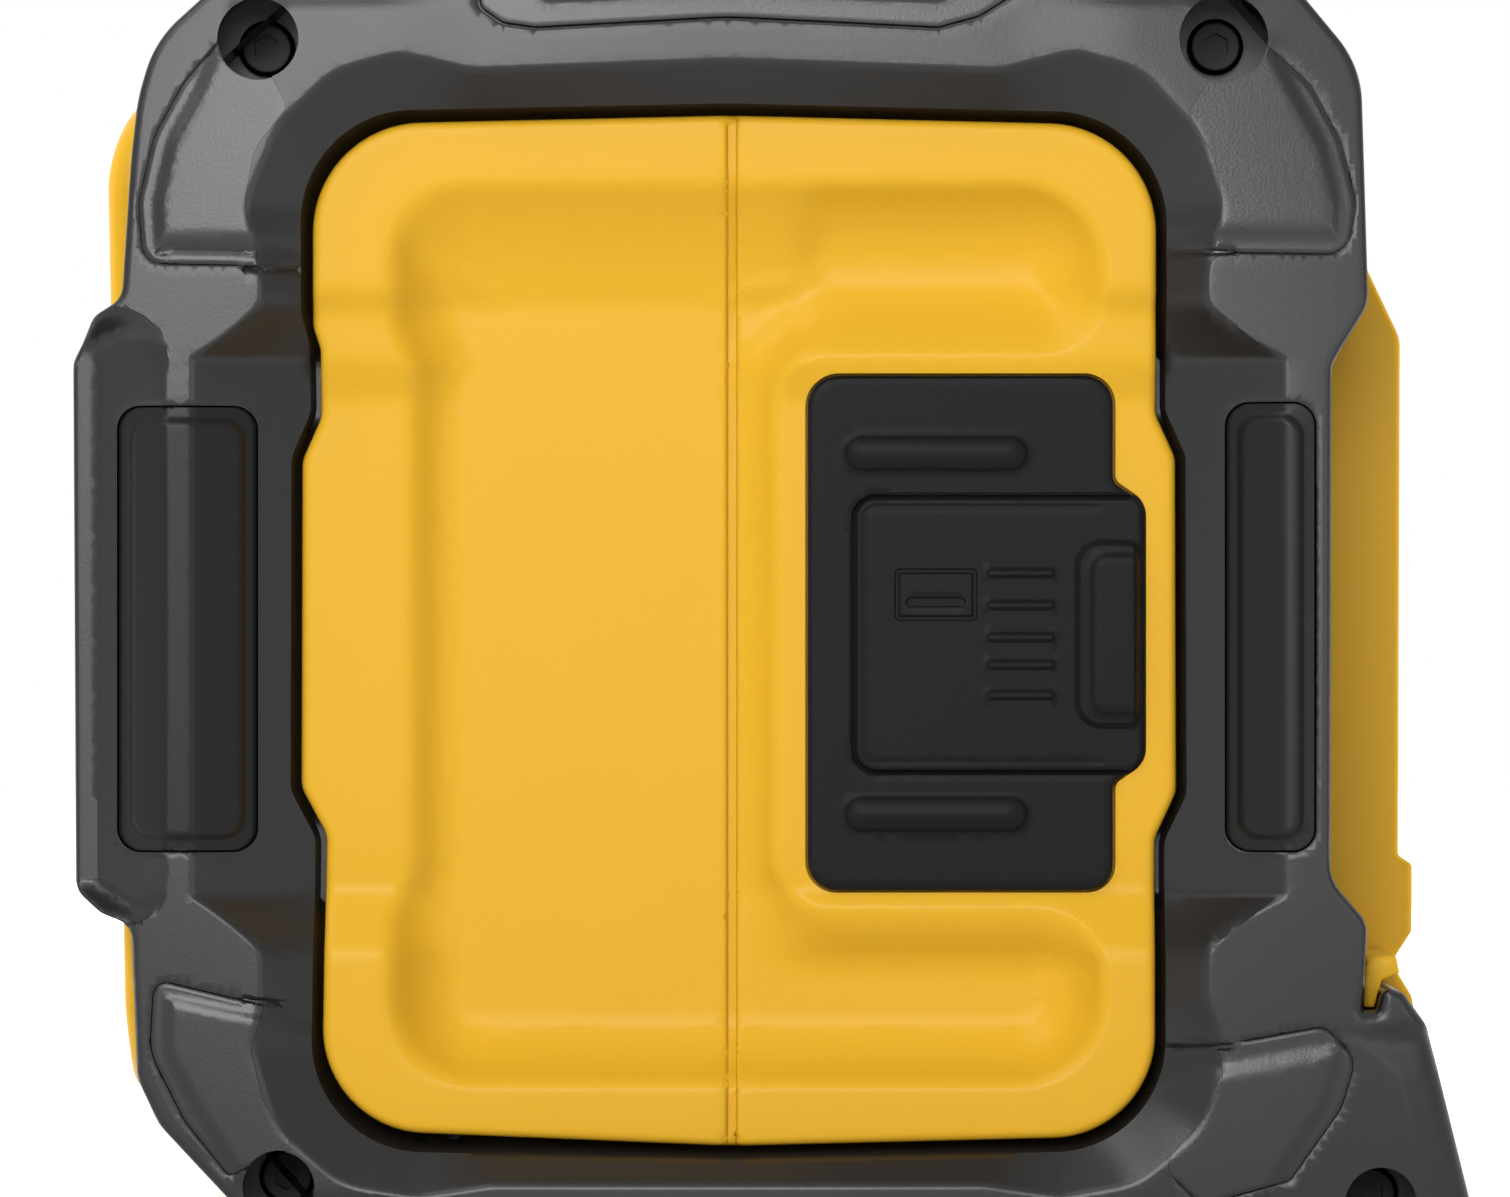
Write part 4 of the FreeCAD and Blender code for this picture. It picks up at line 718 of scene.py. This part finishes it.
# Each slot's material, colour and finish, with a note on what the finish gives the eye
RECIPES = {
    # Moulded ABS from a satin tool: an even strong yellow with wide soft lights
    "yellow_housing": ("moulded_abs_satin", "yellow", dict(
        roughness=0.3, ior=1.53, specular=0.08, tint=0.015, grain=0.5, grain_height=0.004, polish=0.03)),
    # Nylon moulded in a spark-eroded tool: dull grey-black with a fine tooth on every slope
    "black_frame": ("spark_eroded_nylon", "black", dict(
        roughness=0.31, ior=1.52, specular=0.31, tint=0.05, grain=0.35, grain_height=0.012, polish=0.02)),
    # Soft elastomer moulded over with a coarse grain: speckled, a little lighter where it faces the lamp
    "black_pad": ("grained_tpe", "pad", dict(
        roughness=0.3, specular=0.4, tint=0.08, grain=0.34, grain_height=0.018, polish=0.02)),
    # The same elastomer left matt: the darkest of the blacks, with one soft light along the crest
    "grip_inserts": ("matte_tpe", "pad", dict(
        roughness=0.36, specular=0.16, tint=0.05, grain=0.34, grain_height=0.012, polish=0.02)),
    # Silicone from a smooth tool: flat black, only its rims and ribs catch light
    "cover_rubber": ("moulded_silicone_rubber", "rubber", dict(
        roughness=0.36, ior=1.45, specular=0.05, tint=0.04, grain=0.3, grain_height=0.006, polish=0.02)),
    # Turned steel, blackened in oil: near black with a metal edge
    "steel_screw": ("blackened_screw_steel", "#242425", dict(
        roughness=0.42, metallic=1.0, tint=0.1, grain=0.2, grain_height=0.005)),
    # Punched steel under baked powder: slight orange peel, blunt hole rims
    "grille_steel": ("powder_coated_steel", "#1E1E20", dict(
        roughness=0.5, tint=0.05, grain=0.25, grain_height=0.015)),
    # Woven polyester: no shine, a weave that shows in the holes
    "speaker_cloth": ("acoustic_polyester_cloth", "#131314", dict(
        roughness=0.95, tint=0.1, grain_height=0.15, sheen=0.3, pattern=woven)),
    # Rolled aluminium, anodised dark: lights drawn out along the rolling
    "plate_metal": ("anodised_plate", "#2C2C2E", dict(
        roughness=0.35, metallic=1.0, tint=0.04, grain_height=0.003, pattern=rolled)),
    # Pressed paper pulp: dry, fibrous and cloudy
    "cone_paper": ("pulp_cone_paper", "#1B1B1D", dict(
        roughness=0.85, tint=0.15, tint_size=4.0, grain=0.5, grain_height=0.05)),
    # Moulded butyl: smooth and dull, with one light around the roll
    "surround_rubber": ("butyl_surround_rubber", "#161617", dict(
        roughness=0.45, tint=0.05, grain=0.4, grain_height=0.01)),
    # Steel plated with zinc: bluish grey, patchy
    "magnet_steel": ("zinc_plated_steel", "#8A8C8E", dict(
        roughness=0.4, metallic=1.0, tint=0.08, tint_size=3.0, grain=0.2, grain_height=0.004)),
    # Stamped steel under stove paint: dark with soft edges
    "basket_steel": ("stamped_painted_steel", "#2C2D2F", dict(
        roughness=0.45, tint=0.05, grain_height=0.01)),
    # Cotton stiffened with resin: amber and dry, its weave shows
    "spider_cloth": ("resin_cotton_cloth", "#B4813A", dict(
        roughness=0.9, tint=0.1, grain_height=0.1, pattern=woven)),
    # Keypad silicone: dusty and dull, lighter than the panel around it
    "button_rubber": ("keypad_silicone", "#2B2B2D", dict(
        roughness=0.58, ior=1.42, tint=0.04, grain_height=0.01)),
    # Moulded acrylic, polished: pale and glossy
    "lens_clear": ("status_lens_acrylic", "#BFD7E6", dict(
        roughness=0.12, ior=1.49, tint=0.02, grain=1.0, grain_height=0.001)),
    # Glass laminate under green lacquer: satin with a faint mottle
    "board_green": ("solder_mask_laminate", "#1F5B36", dict(
        roughness=0.35, tint=0.12, tint_size=2.5, grain=0.5, grain_height=0.01)),
    # Drawn steel under nickel: bright, faint lines
    "socket_steel": ("nickel_plated_steel", "#C4C6C8", dict(
        roughness=0.28, metallic=1.0, tint=0.04, grain_height=0.003, pattern=rolled)),
    # Rolled brass, plated: warm and bright
    "contact_brass": ("plated_contact_brass", "#C9A24B", dict(
        roughness=0.3, metallic=1.0, grain_height=0.003, pattern=rolled)),
    # Extruded PVC: smooth dark red
    "wire_jacket": ("pvc_wire_jacket", "#7A1616", dict(
        roughness=0.4, tint=0.05, grain=0.4, grain_height=0.005)),
}
MATERIALS = {}


def make_materials(colours):
    """One procedural material for each material slot of the CAD model."""
    for slot, (name, colour, settings) in RECIPES.items():
        code = colour if colour[0] == "#" else getattr(colours, colour)
        MATERIALS[slot] = surface(name, code, **settings)


# Pieces
def housing_mesh(node):
    """A housing half from the CAD mesh, without its carved ends."""
    mesh = frame["nodes"][node].data.copy()
    work = bmesh.new()
    work.from_mesh(mesh)
    limit = (sizes().shoulder + 0.05) / 1000
    gone = [f for f in work.faces if max(abs(v.co.x) for v in f.verts) > limit]
    bmesh.ops.delete(work, geom=gone, context="FACES")
    work.to_mesh(mesh)
    work.free()
    return leaning(mesh)


def leaning(mesh):
    """The mesh with the lean of the real front and hump."""
    for vert in mesh.vertices:
        vert.co += Vector(leaned(*(vert.co * 1000))) / 1000
    return mesh


def leaned(x, y, z):
    """Lean of the front face's ends and of the rear hump's shoulder."""
    if y < -66.2:
        return 0, 0.087 * max(47 - z, 0) + 0.028 * max(z - 114, 0) ** 2, 0
    if y > 64 and 92 < z < 100:
        return 0, 0.2, 2.4
    if y > 58 and 104 < z < 110:
        return 0, 1.56, -0.3
    return 0, 0, 0


def boss_shell(side):
    """Carved end of one housing half; side -1 is the front half."""
    s = sizes()
    shell = Shell()
    window, mouth = OUTLINES["window"], OUTLINES["mouth"]
    seat = shifted(OUTLINES["panel"], -0.3)
    seat_level = s.panel - COVER_SEAT
    split = s.seam + SEAM_HALF
    line = np.array([(split, z) for z in np.arange(12, 123, 0.8)])
    line = np.vstack([line, [(split + side * 90, 122.0), (split + side * 90, 12.0)]])

    def keep(p):
        kept = within(window, p) & ((p[:, 0] - split) * side > 0)
        return kept & ~within(seat, p) if side > 0 else kept

    heights = np.arange(13, 121, 0.8)
    groove = [np.stack([np.full(len(heights), s.seam + d), heights], 1) for d in SEAM_ROWS]
    rows = [
        (window, (0.12, 0.3, 0.55, 0.9)),
        (OUTLINES["scoop"], (-1.2, -0.7, -0.35, 0, 0.35, 0.7, 1.2, 2, 3, 4.2, 5.6, 7.2))]
    if side > 0:
        rows.append((seat, (-0.25, -0.6)))
    loops = [window, line] + ([seat] if side > 0 else [])
    shell.carve(loops, keep, lambda p: yellow_height(p, side < 0), rows, 0.85,
                nearest((window, s.shoulder), (seat, seat_level), (line, s.shoulder)), groove)
    if side > 0:
        shell.plate([seat, mouth], between(seat, mouth), seat_level, 1)
        shell.wall(mouth, seat_level, s.pocket, hole=True)
        rib = rounded(RIB)
        shell.carve([rib], between(rib), lambda p: s.slope + 1 - edge_drop(depth_in(rib, p), 0.4),
                    [(rib, (0.15, 0.4))], 0.6, flat(s.frame - 1))
    return shell


def open_edge(points):
    """1 where an inlay's edge shows, 0 along the crest and beside the screw holes."""
    shown = ease((-depth_in(OUTLINES["crest"], points) - 1.5) / 1.2)
    for a, b in HIDDEN_SEAMS:
        shown = shown * (1 - ease(capsule(points, a, b, 1.6) / 0.8))
    return shown


def inlay_line(loop, gap):
    """An inlay's outline, set back by the gap where its edge shows."""
    return shifted(loop, 0.03 + (gap - 0.03) * open_edge(loop)[:, None])


def screw_circles(grow):
    """Loops around the screw holes, grown by some millimetres."""
    return [circle(y, z, r + grow) for y, z, r in SCREWS]


def frame_shell():
    """One end frame as a shell with pockets for its inlays."""
    s = sizes()
    shell = Shell()
    outer, foot, top_pad = OUTLINES["silhouette"], OUTLINES["foot"], OUTLINES["top_pad"]
    circles = screw_circles(0)
    inlays = [OUTLINES[name] for name in list(CORNER_PADS) + list(GRIPS)]
    lip = shifted(OUTLINES["window"], -0.08)
    holes = [lip, top_pad] + inlays + circles
    back, band = s.shoulder + LIP, s.frame + TOP_STEP
    pad_floor, top_floor, mouth = s.end - PAD_POCKET, s.end - TOP_POCKET, s.end - BORE_MOUTH
    y0, z0, y1, _ = TOP_NOTCH

    def height(p):
        h = frame_height(p)
        for loop in inlays + [top_pad]:
            h = h - edge_drop(-depth_in(loop, p), 0.15) * open_edge(p)
        gap = depth_in(foot, p)
        return np.where(gap > 0.02, np.maximum(h - 1.0 - 5.0 * gap, s.shoulder + 0.3), h)

    levels = [(outer, s.frame), (lip, back), (top_pad, top_floor)]
    levels += [(loop, pad_floor) for loop in inlays[:4]]
    levels += [(loop, s.end - GRIP_POCKET) for loop in inlays[4:]]
    levels += [(loop, mouth) for loop in circles]

    def floor(p):
        over = (p[:, 1] > z0 - 0.1) & (p[:, 0] > y0 - 0.1) & (p[:, 0] < y1 + 0.2)
        return np.where(over, band, nearest(*levels)(p))

    rows = [(outer, (0.1, 0.25, 0.5, 0.9, 1.5, 2.3, 3.1)), (OUTLINES["crest"], CREST_ROWS),
            (foot, (0.1, 0.5, -0.6, -1.2)), (OUTLINES["flank"], (-0.2, 0, 0.25, 0.6, 1.2, 2.0, 3.0)),
            (OUTLINES["bevel"], (-0.6, -0.3, 0, 0.3))]
    rows += [(loop, (-0.08, -0.2)) for loop in inlays + [top_pad]]
    creases = beside(CREASES, (-0.55, -0.3, 0, 0.3, 0.55)) + beside(FOLDS, FOLD_ROWS)
    shell.carve([outer, foot] + holes, between(outer, *holes), height, rows, 1.0, floor, creases)
    spigot = OUTLINES["spigot"]
    notch = rounded(box_line(TOP_NOTCH, 0))
    shell.plate([outer, notch], lambda p: within(outer, p) & within(notch, p), band, 1)
    step = between(top_pad, notch)
    shell.plate([notch, top_pad, outer], lambda p: within(outer, p) & step(p), top_floor, 1)
    for low, high, z in ((s.frame, band, 142.0), (band, top_floor, z0)):
        shell.add([(low, y0, z), (low, y1, z), (high, y1, z), (high, y0, z)], [(0, 1, 2, 3)])
    bores = screw_circles(0.55)
    shell.plate([outer, spigot], between(outer, spigot), s.frame, -1)
    shell.wall(spigot, back, s.frame, hole=True)
    shell.plate([spigot, lip] + bores, between(spigot, lip, *bores), back, -1)
    for loop in inlays[:4]:
        shell.plate([loop] + circles, between(loop, *circles), pad_floor, 1)
    for loop in inlays[4:]:
        shell.plate([loop], between(loop), s.end - GRIP_POCKET, 1)
    for loop in circles:
        shell.wall(loop, mouth, s.end - BORE_DEPTH, hole=True, spread=BORE_SPREAD)
        wide = shifted(loop, -BORE_SPREAD)
        shell.plate([wide], between(wide), s.end - BORE_DEPTH, 1)
    return shell


def pad_shell(name):
    """Grained corner pad that sits in its pocket."""
    s = sizes()
    shell = Shell()
    body = rounded(CORNER_PADS[name], 0.5)
    line = inlay_line(body, PAD_GAP)
    circles = screw_circles(0.1)
    keep = between(line, *circles)

    def height(p):
        return frame_height(p) - edge_drop(depth_in(line, p), 0.15) * open_edge(p)

    rows = [(line, (0.08, 0.2, 0.5, 0.9, 1.4, 2.0, 2.6)), (OUTLINES["crest"], CREST_ROWS),
            (OUTLINES["lift_" + name], (0, 0.3, 0.65, 1.0, 1.3))]
    near = [c for c in circles if within(shifted(body, -3), c).any()]
    low = s.end - PAD_POCKET + PLAY
    shell.carve([line] + near, keep, height, rows, 0.7, flat(low))
    shell.plate([line] + near, keep, low, -1)
    return shell


def grip_shell(name):
    """Grip strip with a lowered border, following the crest."""
    s = sizes()
    shell = Shell()
    line = inset(OUTLINES[name], 0.1)
    y0, z0, y1, z1 = GRIPS[name]
    inner = rounded(box_line((y0 + 1.6, z0 + 1.6, y1 - 1.6, z1 - 1.6), 2.0), 0.6)
    low = s.end - GRIP_POCKET + PLAY

    def height(p):
        step = 0.6 * (1 - ease(depth_in(inner, p) + 0.5))
        return frame_height(p) - step - edge_drop(depth_in(line, p), 0.2)

    rows = [(line, (0.12, 0.3)), (inner, (-0.4, -0.2, 0, 0.2, 0.4, 0.7))]
    shell.carve([line], between(line), height, rows, 0.8, flat(low), beside(FOLDS, FOLD_ROWS))
    shell.plate([line], between(line), low, -1)
    return shell


def top_pad_shell():
    """Pad that wraps from the end over the top edge."""
    s = sizes()
    shell = Shell()
    loop = inset(rounded(TOP_PAD, 0.5), 0.22)
    outer = OUTLINES["silhouette"]
    split = rounded(box_line(TOP_WRAP, 0))
    edge = TOP_WRAP[1]
    low, high = s.frame + TOP_STEP + 0.3, s.end - TOP_POCKET + PLAY

    def keep(p):
        return within(loop, p) & within(outer, p)

    def height(p):
        lift = ease(depth_in(OUTLINES["lift_top"], p) / 1.3)
        return frame_height(p) + s.lift * lift - edge_drop(depth_in(loop, p), 0.3)

    rows = [(loop, (0.12, 0.3, 0.7)), (outer, (0.15, 0.45, 0.9, 1.4, 1.9)),
            (OUTLINES["lift_top"], (0, 0.3, 0.6, 0.9, 1.3))]
    loops = [loop, outer, split]
    shell.carve(loops, keep, height, rows, 0.8, lambda p: np.where(p[:, 1] > edge, low, high))
    shell.plate(loops, lambda p: keep(p) & (p[:, 1] > edge), low, -1)
    shell.plate(loops, lambda p: keep(p) & (p[:, 1] < edge), high, -1)
    y0, y1 = loop[:, 0].min(), loop[:, 0].max()
    shell.add([(low, y0, edge), (high, y0, edge), (high, y1, edge), (low, y1, edge)], [(0, 1, 2, 3)])
    return shell


def panel_shell():
    """Rubber cover with a seat for its flap and a mouth for the socket."""
    s = sizes()
    shell = Shell()
    panel, mouth = OUTLINES["panel"], OUTLINES["mouth"]
    opening = shifted(OUTLINES["flap"], -0.35)
    low, seat = s.panel - COVER_BACK, s.panel - FLAP_SEAT

    def height(p):
        return panel_height(p) - edge_drop(-depth_in(opening, p), 0.3)

    rows = [(panel, (0.1, 0.25, 0.5)), (opening, (-0.1, -0.3))]
    rows += [(bar_loop(bar), (-0.1, 0.05, 0.2, 0.35, 0.5, 0.9)) for bar in BARS]
    shell.carve([panel, opening], between(panel, opening), height, rows, 0.7,
                nearest((panel, low), (opening, seat)))
    shell.plate([opening, mouth], between(opening, mouth), seat, 1)
    shell.wall(mouth, seat, low, hole=True)
    shell.plate([panel, mouth], between(panel, mouth), low, -1)
    return shell


def flap_shell():
    """Flap with the hollow plug that closes the mouth."""
    s = sizes()
    shell = Shell()
    flap = OUTLINES["flap"]
    rows = [(flap, (0.1, 0.25, 0.45, 0.6, 0.8, 0.95, 1.2)), (OUTLINES["tab"], (0, 0.2, 0.45, 0.7)),
            (OUTLINES["tab_face"], (0, 0.2, 0.4, 0.6)), (OUTLINES["sign"], (0, 0.15, 0.3, 0.45, 0.65))]
    rows += [(bar_loop(bar), (0, 0.2, 0.4, 0.6)) for bar in RIBS]
    rows.append((rounded(box_line(SIGN_BAR, 0.6), 0.3), (0, 0.15, 0.3, 0.5)))
    back = s.panel - FLAP_BACK
    tip = back - PLUG_LENGTH
    shell.carve([flap], between(flap), flap_height, rows, 0.6, flat(back))
    outer, inner = rounded(box_line(PLUG, 1.6), 0.5), rounded(box_line(PLUG_BORE, 1), 0.5)
    shell.plate([flap, outer], between(flap, outer), back, -1)
    shell.wall(outer, back, tip)
    shell.plate([outer, inner], between(outer, inner), tip, -1)
    shell.wall(inner, back, tip, hole=True)
    shell.plate([inner], between(inner), back, -1)
    return shell


def both_ends(shell, right, left, slot, right_body="case", left_body="case", look=None):
    """The +X piece and its mirror image, standing for two CAD nodes."""
    for name, mirror, body in ((right, False, right_body), (left, True, left_body)):
        mesh = finished(shell.mesh(name + "_mesh", mirror))
        place(name + "_piece", mesh, MATERIALS[look or slot], body, [name])


# Stage
# Softboxes: name, place in metres, property that holds the watts, share of them, width in metres
LAMPS = (
    ("key", (1.452, -0.15, 0.44), "key", 1.0, 0.62),
    ("high", (0.694, -0.45, 0.75), "high", 1.0, 0.6),
    ("edge", (0.883, 0.477, 0.075), "edge", 1.0, 0.35),
    ("top", (-0.25, 0.0, 1.3), "top", 1.0, 0.8),
    ("front", (-0.38, -1.15, 0.3), "side", 1.0, 0.7),
    ("rear", (-0.38, 1.15, 0.3), "side", 1.0, 0.7),
    ("back", (-1.25, 0.0, 0.4), "side", 0.7, 0.7))
FLOOR_REACH = 3.0
BODY_CENTRE = 0.075
WHITE = (1, 1, 1, 1)


def in_scene(name, data):
    """A new object in the scene."""
    thing = bpy.data.objects.new(name, data)
    bpy.context.scene.collection.objects.link(thing)
    return thing


def make_camera(look):
    """Camera that looks straight at the +X end."""
    data = bpy.data.cameras.new("camera")
    data.sensor_width = 36
    data.lens = look.lens
    data.clip_end = 20
    camera = in_scene("camera", data)
    camera.location = (sizes().end / 1000 + look.distance, look.aim_y, look.aim_z)
    camera.rotation_euler = (math.radians(90), look.roll, math.radians(90))
    bpy.context.scene.camera = camera


def make_world(look):
    """Grey fill on the object, white behind it and in its reflections."""
    scene = bpy.context.scene
    scene.world = scene.world or bpy.data.worlds.new("studio")
    scene.world.use_nodes = True
    tree = scene.world.node_tree
    tree.nodes.clear()
    fill, clean = [add_node(tree, "ShaderNodeBackground", {"Color": WHITE, "Strength": strength}).outputs[0]
                   for strength in (look.fill, 1.0)]
    mix = add_node(tree, "ShaderNodeMixShader", links={0: seen_rays(tree), 1: fill, 2: clean})
    add_node(tree, "ShaderNodeOutputWorld", links={"Surface": mix.outputs[0]})


def make_floor(look):
    """Pale floor around the origin."""
    mesh = bpy.data.meshes.new("floor")
    corners = [(x * FLOOR_REACH, y * FLOOR_REACH, 0) for x, y in ((-1, -1), (1, -1), (1, 1), (-1, 1))]
    mesh.from_pydata(corners, [], [(0, 1, 2, 3)])
    mesh.materials.append(floor_material(look))
    floor_object = in_scene("floor", mesh)


def make_lamps(look):
    """Softboxes; those behind the +X end leave no mirror image on the housing."""
    for name, at, watts, share, width in LAMPS:
        data = bpy.data.lights.new(name, "AREA")
        data.size = width
        data.energy = share * getattr(look, watts)
        lamp = in_scene(name, data)
        lamp.location = at
        lamp.visible_glossy = at[0] > 0
        aim = Vector((0.12 if at[0] > 0 else 0, 0, BODY_CENTRE)) - Vector(at)
        lamp.rotation_euler = aim.to_track_quat("-Z", "Y").to_euler()


def seen_rays(tree):
    """1 for the rays that show the pale background."""
    rays = add_node(tree, "ShaderNodeLightPath")
    seen = rays.outputs["Is Camera Ray"]
    for name in ("Is Glossy Ray", "Is Transmission Ray"):
        both = {0: seen, 1: rays.outputs[name]}
        seen = add_node(tree, "ShaderNodeMath", links=both, operation="MAXIMUM").outputs[0]
    return seen


def floor_material(look):
    """Pale floor that keeps the shadow and stays near white elsewhere."""
    material = bpy.data.materials.new("pale_floor")
    material.use_nodes = True
    tree = material.node_tree
    tree.nodes.clear()
    seen = seen_rays(tree)
    matte = add_node(tree, "ShaderNodeBsdfDiffuse", {"Color": (0.75, 0.75, 0.75, 1)})
    place_at = add_node(tree, "ShaderNodeTexCoord").outputs["Object"]
    away = add_node(tree, "ShaderNodeVectorMath", links={0: place_at}, operation="LENGTH")
    ramp = {"From Min": 0.3, "From Max": 0.8, "To Min": look.floor_glow}
    level = add_node(tree, "ShaderNodeMapRange", ramp, {"Value": away.outputs["Value"]})
    glow = add_node(tree, "ShaderNodeEmission", links={"Strength": level.outputs[0]})
    plain = add_node(tree, "ShaderNodeAddShader", links={0: matte.outputs[0], 1: glow.outputs[0]})
    mix = add_node(tree, "ShaderNodeMixShader", links={0: seen, 1: matte.outputs[0], 2: plain.outputs[0]})
    add_node(tree, "ShaderNodeOutputMaterial", links={"Surface": mix.outputs[0]})
    return material


# Properties
def length(name, value, description):
    """A length given in millimetres."""
    return bpy.props.FloatProperty(name=name, default=value / 1000, unit="LENGTH", description=description)


def colour(name, value, description):
    """An sRGB hex code."""
    return bpy.props.StringProperty(name=name, default=value, description=description)


def amount(name, value, description, **kind):
    """A plain number, or a metre, angle or focal length when its kind says so."""
    return bpy.props.FloatProperty(name=name, default=value, description=description, **kind)


class SpeakerSizes(bpy.types.PropertyGroup):
    """Levels of the end along X, and the seam along Y"""
    end: length("End", 131.0, "Outermost face of the end frame")
    face: length("Face", 130.3, "Face of the end frame between the pads")
    lift: length("Pad lift", 0.4, "How far the pads stand above the face")
    slope: length("Slope foot", 123.2, "Lowest level of the black slope")
    ring: length("Ring foot", 126.1, "Lowest level of the slope above and below")
    rim: length("Rim", 125.0, "Yellow margin above and below")
    band: length("Band", 122.3, "Yellow margin beside the grips")
    scoop: length("Scoop", 119.5, "Floor of the yellow scoop")
    shoulder: length("Shoulder", 118.0, "Wall behind the carved end")
    pocket: length("Pocket", 113.5, "Floor of the socket pocket")
    panel: length("Panel", 123.1, "Face of the rubber cover")
    frame: length("Frame", 97.0, "Inner edge of the end frame")
    seam: length("Seam", -4.8, "Plane between the housing halves")


class SpeakerColours(bpy.types.PropertyGroup):
    """Colours of the moulded pieces"""
    yellow: colour("Housing", "#C99A25", "Yellow of the moulded housing")
    black: colour("Frame", "#181819", "Black of the end frames")
    pad: colour("Pads", "#151516", "Black of the pads and grips")
    rubber: colour("Covers", "#181819", "Black of the socket covers")


class SpeakerStage(bpy.types.PropertyGroup):
    """Camera, surroundings and softboxes"""
    lens: amount("Lens", 283.8, "Focal length", subtype="DISTANCE_CAMERA")
    distance: amount("Distance", 1.25, "Camera to end face", unit="LENGTH")
    aim_y: amount("Aim Y", -0.00231, "Camera Y", unit="LENGTH")
    aim_z: amount("Aim Z", 0.0703, "Camera Z", unit="LENGTH")
    roll: amount("Roll", 0.0, "Camera roll", subtype="ANGLE")
    fill: amount("Fill", 0.12, "Strength of the grey surroundings")
    key: amount("Key", 13.8, "Watts of the softbox at upper left")
    high: amount("High", 4.5, "Watts of the softbox high in front")
    edge: amount("Edge", 0.95, "Watts of the softbox at the right")
    top: amount("Top", 5.5, "Watts of the softbox overhead")
    side: amount("Sides", 15.0, "Watts of each softbox beside it")
    floor_glow: amount("Floor glow", 0.5, "Glow that keeps the floor pale")


# Operators
class SPEAKER_OT_materials(bpy.types.Operator):
    """Make the materials and give every CAD node its own"""
    bl_idname = "speaker.materials"
    bl_label = "Materials"

    def execute(self, context):
        make_materials(context.scene.speaker_colours)
        for node in frame["nodes"].values():
            for entry in node.material_slots:
                entry.material = MATERIALS[entry.material.name.split(".")[0]]
        return {"FINISHED"}


class SPEAKER_OT_housing(bpy.types.Operator):
    """Build the two housing halves with their carved ends"""
    bl_idname = "speaker.housing"
    bl_label = "Housing"

    def execute(self, context):
        for node, side in (("front_housing", -1), ("rear_housing", 1)):
            shell = boss_shell(side)
            work = bmesh.new()
            work.from_mesh(housing_mesh(node))
            for mirror in (False, True):
                work.from_mesh(finished(shell.mesh("end", mirror), 50))
            mesh = bpy.data.meshes.new(node + "_mesh")
            work.to_mesh(mesh)
            work.free()
            place(node + "_piece", mesh, MATERIALS["yellow_housing"], "case", [node])
        return {"FINISHED"}


class SPEAKER_OT_frames(bpy.types.Operator):
    """Build the end frames"""
    bl_idname = "speaker.frames"
    bl_label = "End frames"

    def execute(self, context):
        both_ends(frame_shell(), "right_end_frame", "left_end_frame", "black_frame")
        return {"FINISHED"}


class SPEAKER_OT_pads(bpy.types.Operator):
    """Build the corner pads, grips and top pads"""
    bl_idname = "speaker.pads"
    bl_label = "Pads and grips"

    def execute(self, context):
        for name in CORNER_PADS:
            both_ends(pad_shell(name), "right_" + name, "left_" + name, "black_pad")
        for name in GRIPS:
            both_ends(grip_shell(name), "right_" + name, "left_" + name, "black_pad", look="grip_inserts")
        both_ends(top_pad_shell(), "right_top_pad", "left_top_pad", "black_pad")
        return {"FINISHED"}


class SPEAKER_OT_covers(bpy.types.Operator):
    """Build the rubber covers and their flaps"""
    bl_idname = "speaker.covers"
    bl_label = "Covers"

    def execute(self, context):
        both_ends(panel_shell(), "usb_panel", "jack_panel", "cover_rubber")
        both_ends(flap_shell(), "usb_flap", "jack_flap", "cover_rubber", "usb_flap", "jack_flap")
        return {"FINISHED"}


class SPEAKER_OT_front(bpy.types.Operator):
    """Let the grille, its cloth and the plate follow the lean of the front face"""
    bl_idname = "speaker.front"
    bl_label = "Front"

    def execute(self, context):
        for name in ("grille", "grille_cloth", "name_plate"):
            mesh = frame["nodes"][name].data.copy()
            place(name + "_piece", leaning(mesh), mesh.materials[0], "case", [name])
        return {"FINISHED"}


class SPEAKER_OT_stage(bpy.types.Operator):
    """Set the floor, the lights and the camera"""
    bl_idname = "speaker.stage"
    bl_label = "Stage"

    def execute(self, context):
        look = context.scene.speaker_stage
        for step in (make_camera, make_world, make_floor, make_lamps):
            step(look)
        context.scene.view_settings.view_transform = "Standard"
        return {"FINISHED"}


class SPEAKER_PT_panel(bpy.types.Panel):
    """All operators and properties in the sidebar"""
    bl_label = "Speaker"
    bl_idname = "SPEAKER_PT_panel"
    bl_space_type = "VIEW_3D"
    bl_region_type = "UI"
    bl_category = "Speaker"

    def draw(self, context):
        for operator in OPERATORS:
            self.layout.operator(operator.bl_idname)
        for group in (getattr(context.scene, name) for name in GROUPS):
            for name in group.bl_rna.properties.keys():
                if name not in ("rna_type", "name"):
                    self.layout.prop(group, name)


OPERATORS = (
    SPEAKER_OT_materials, SPEAKER_OT_housing, SPEAKER_OT_frames, SPEAKER_OT_pads, SPEAKER_OT_covers,
    SPEAKER_OT_front, SPEAKER_OT_stage)
GROUPS = {"speaker_sizes": SpeakerSizes, "speaker_colours": SpeakerColours, "speaker_stage": SpeakerStage}


def register():
    """Register the property groups, the operators and the panel."""
    for name, group in GROUPS.items():
        bpy.utils.register_class(group)
        setattr(bpy.types.Scene, name, bpy.props.PointerProperty(type=group))
    for item in OPERATORS + (SPEAKER_PT_panel,):
        bpy.utils.register_class(item)


def unregister():
    """Take back what register did."""
    for item in reversed(OPERATORS + (SPEAKER_PT_panel,)):
        bpy.utils.unregister_class(item)
    for name, group in GROUPS.items():
        delattr(bpy.types.Scene, name)
        bpy.utils.unregister_class(group)


def main():
    """Build the whole scene."""
    register()
    for operator in OPERATORS:
        group, action = operator.bl_idname.split(".")
        getattr(getattr(bpy.ops, group), action)()


if __name__ == "__main__":
    main()
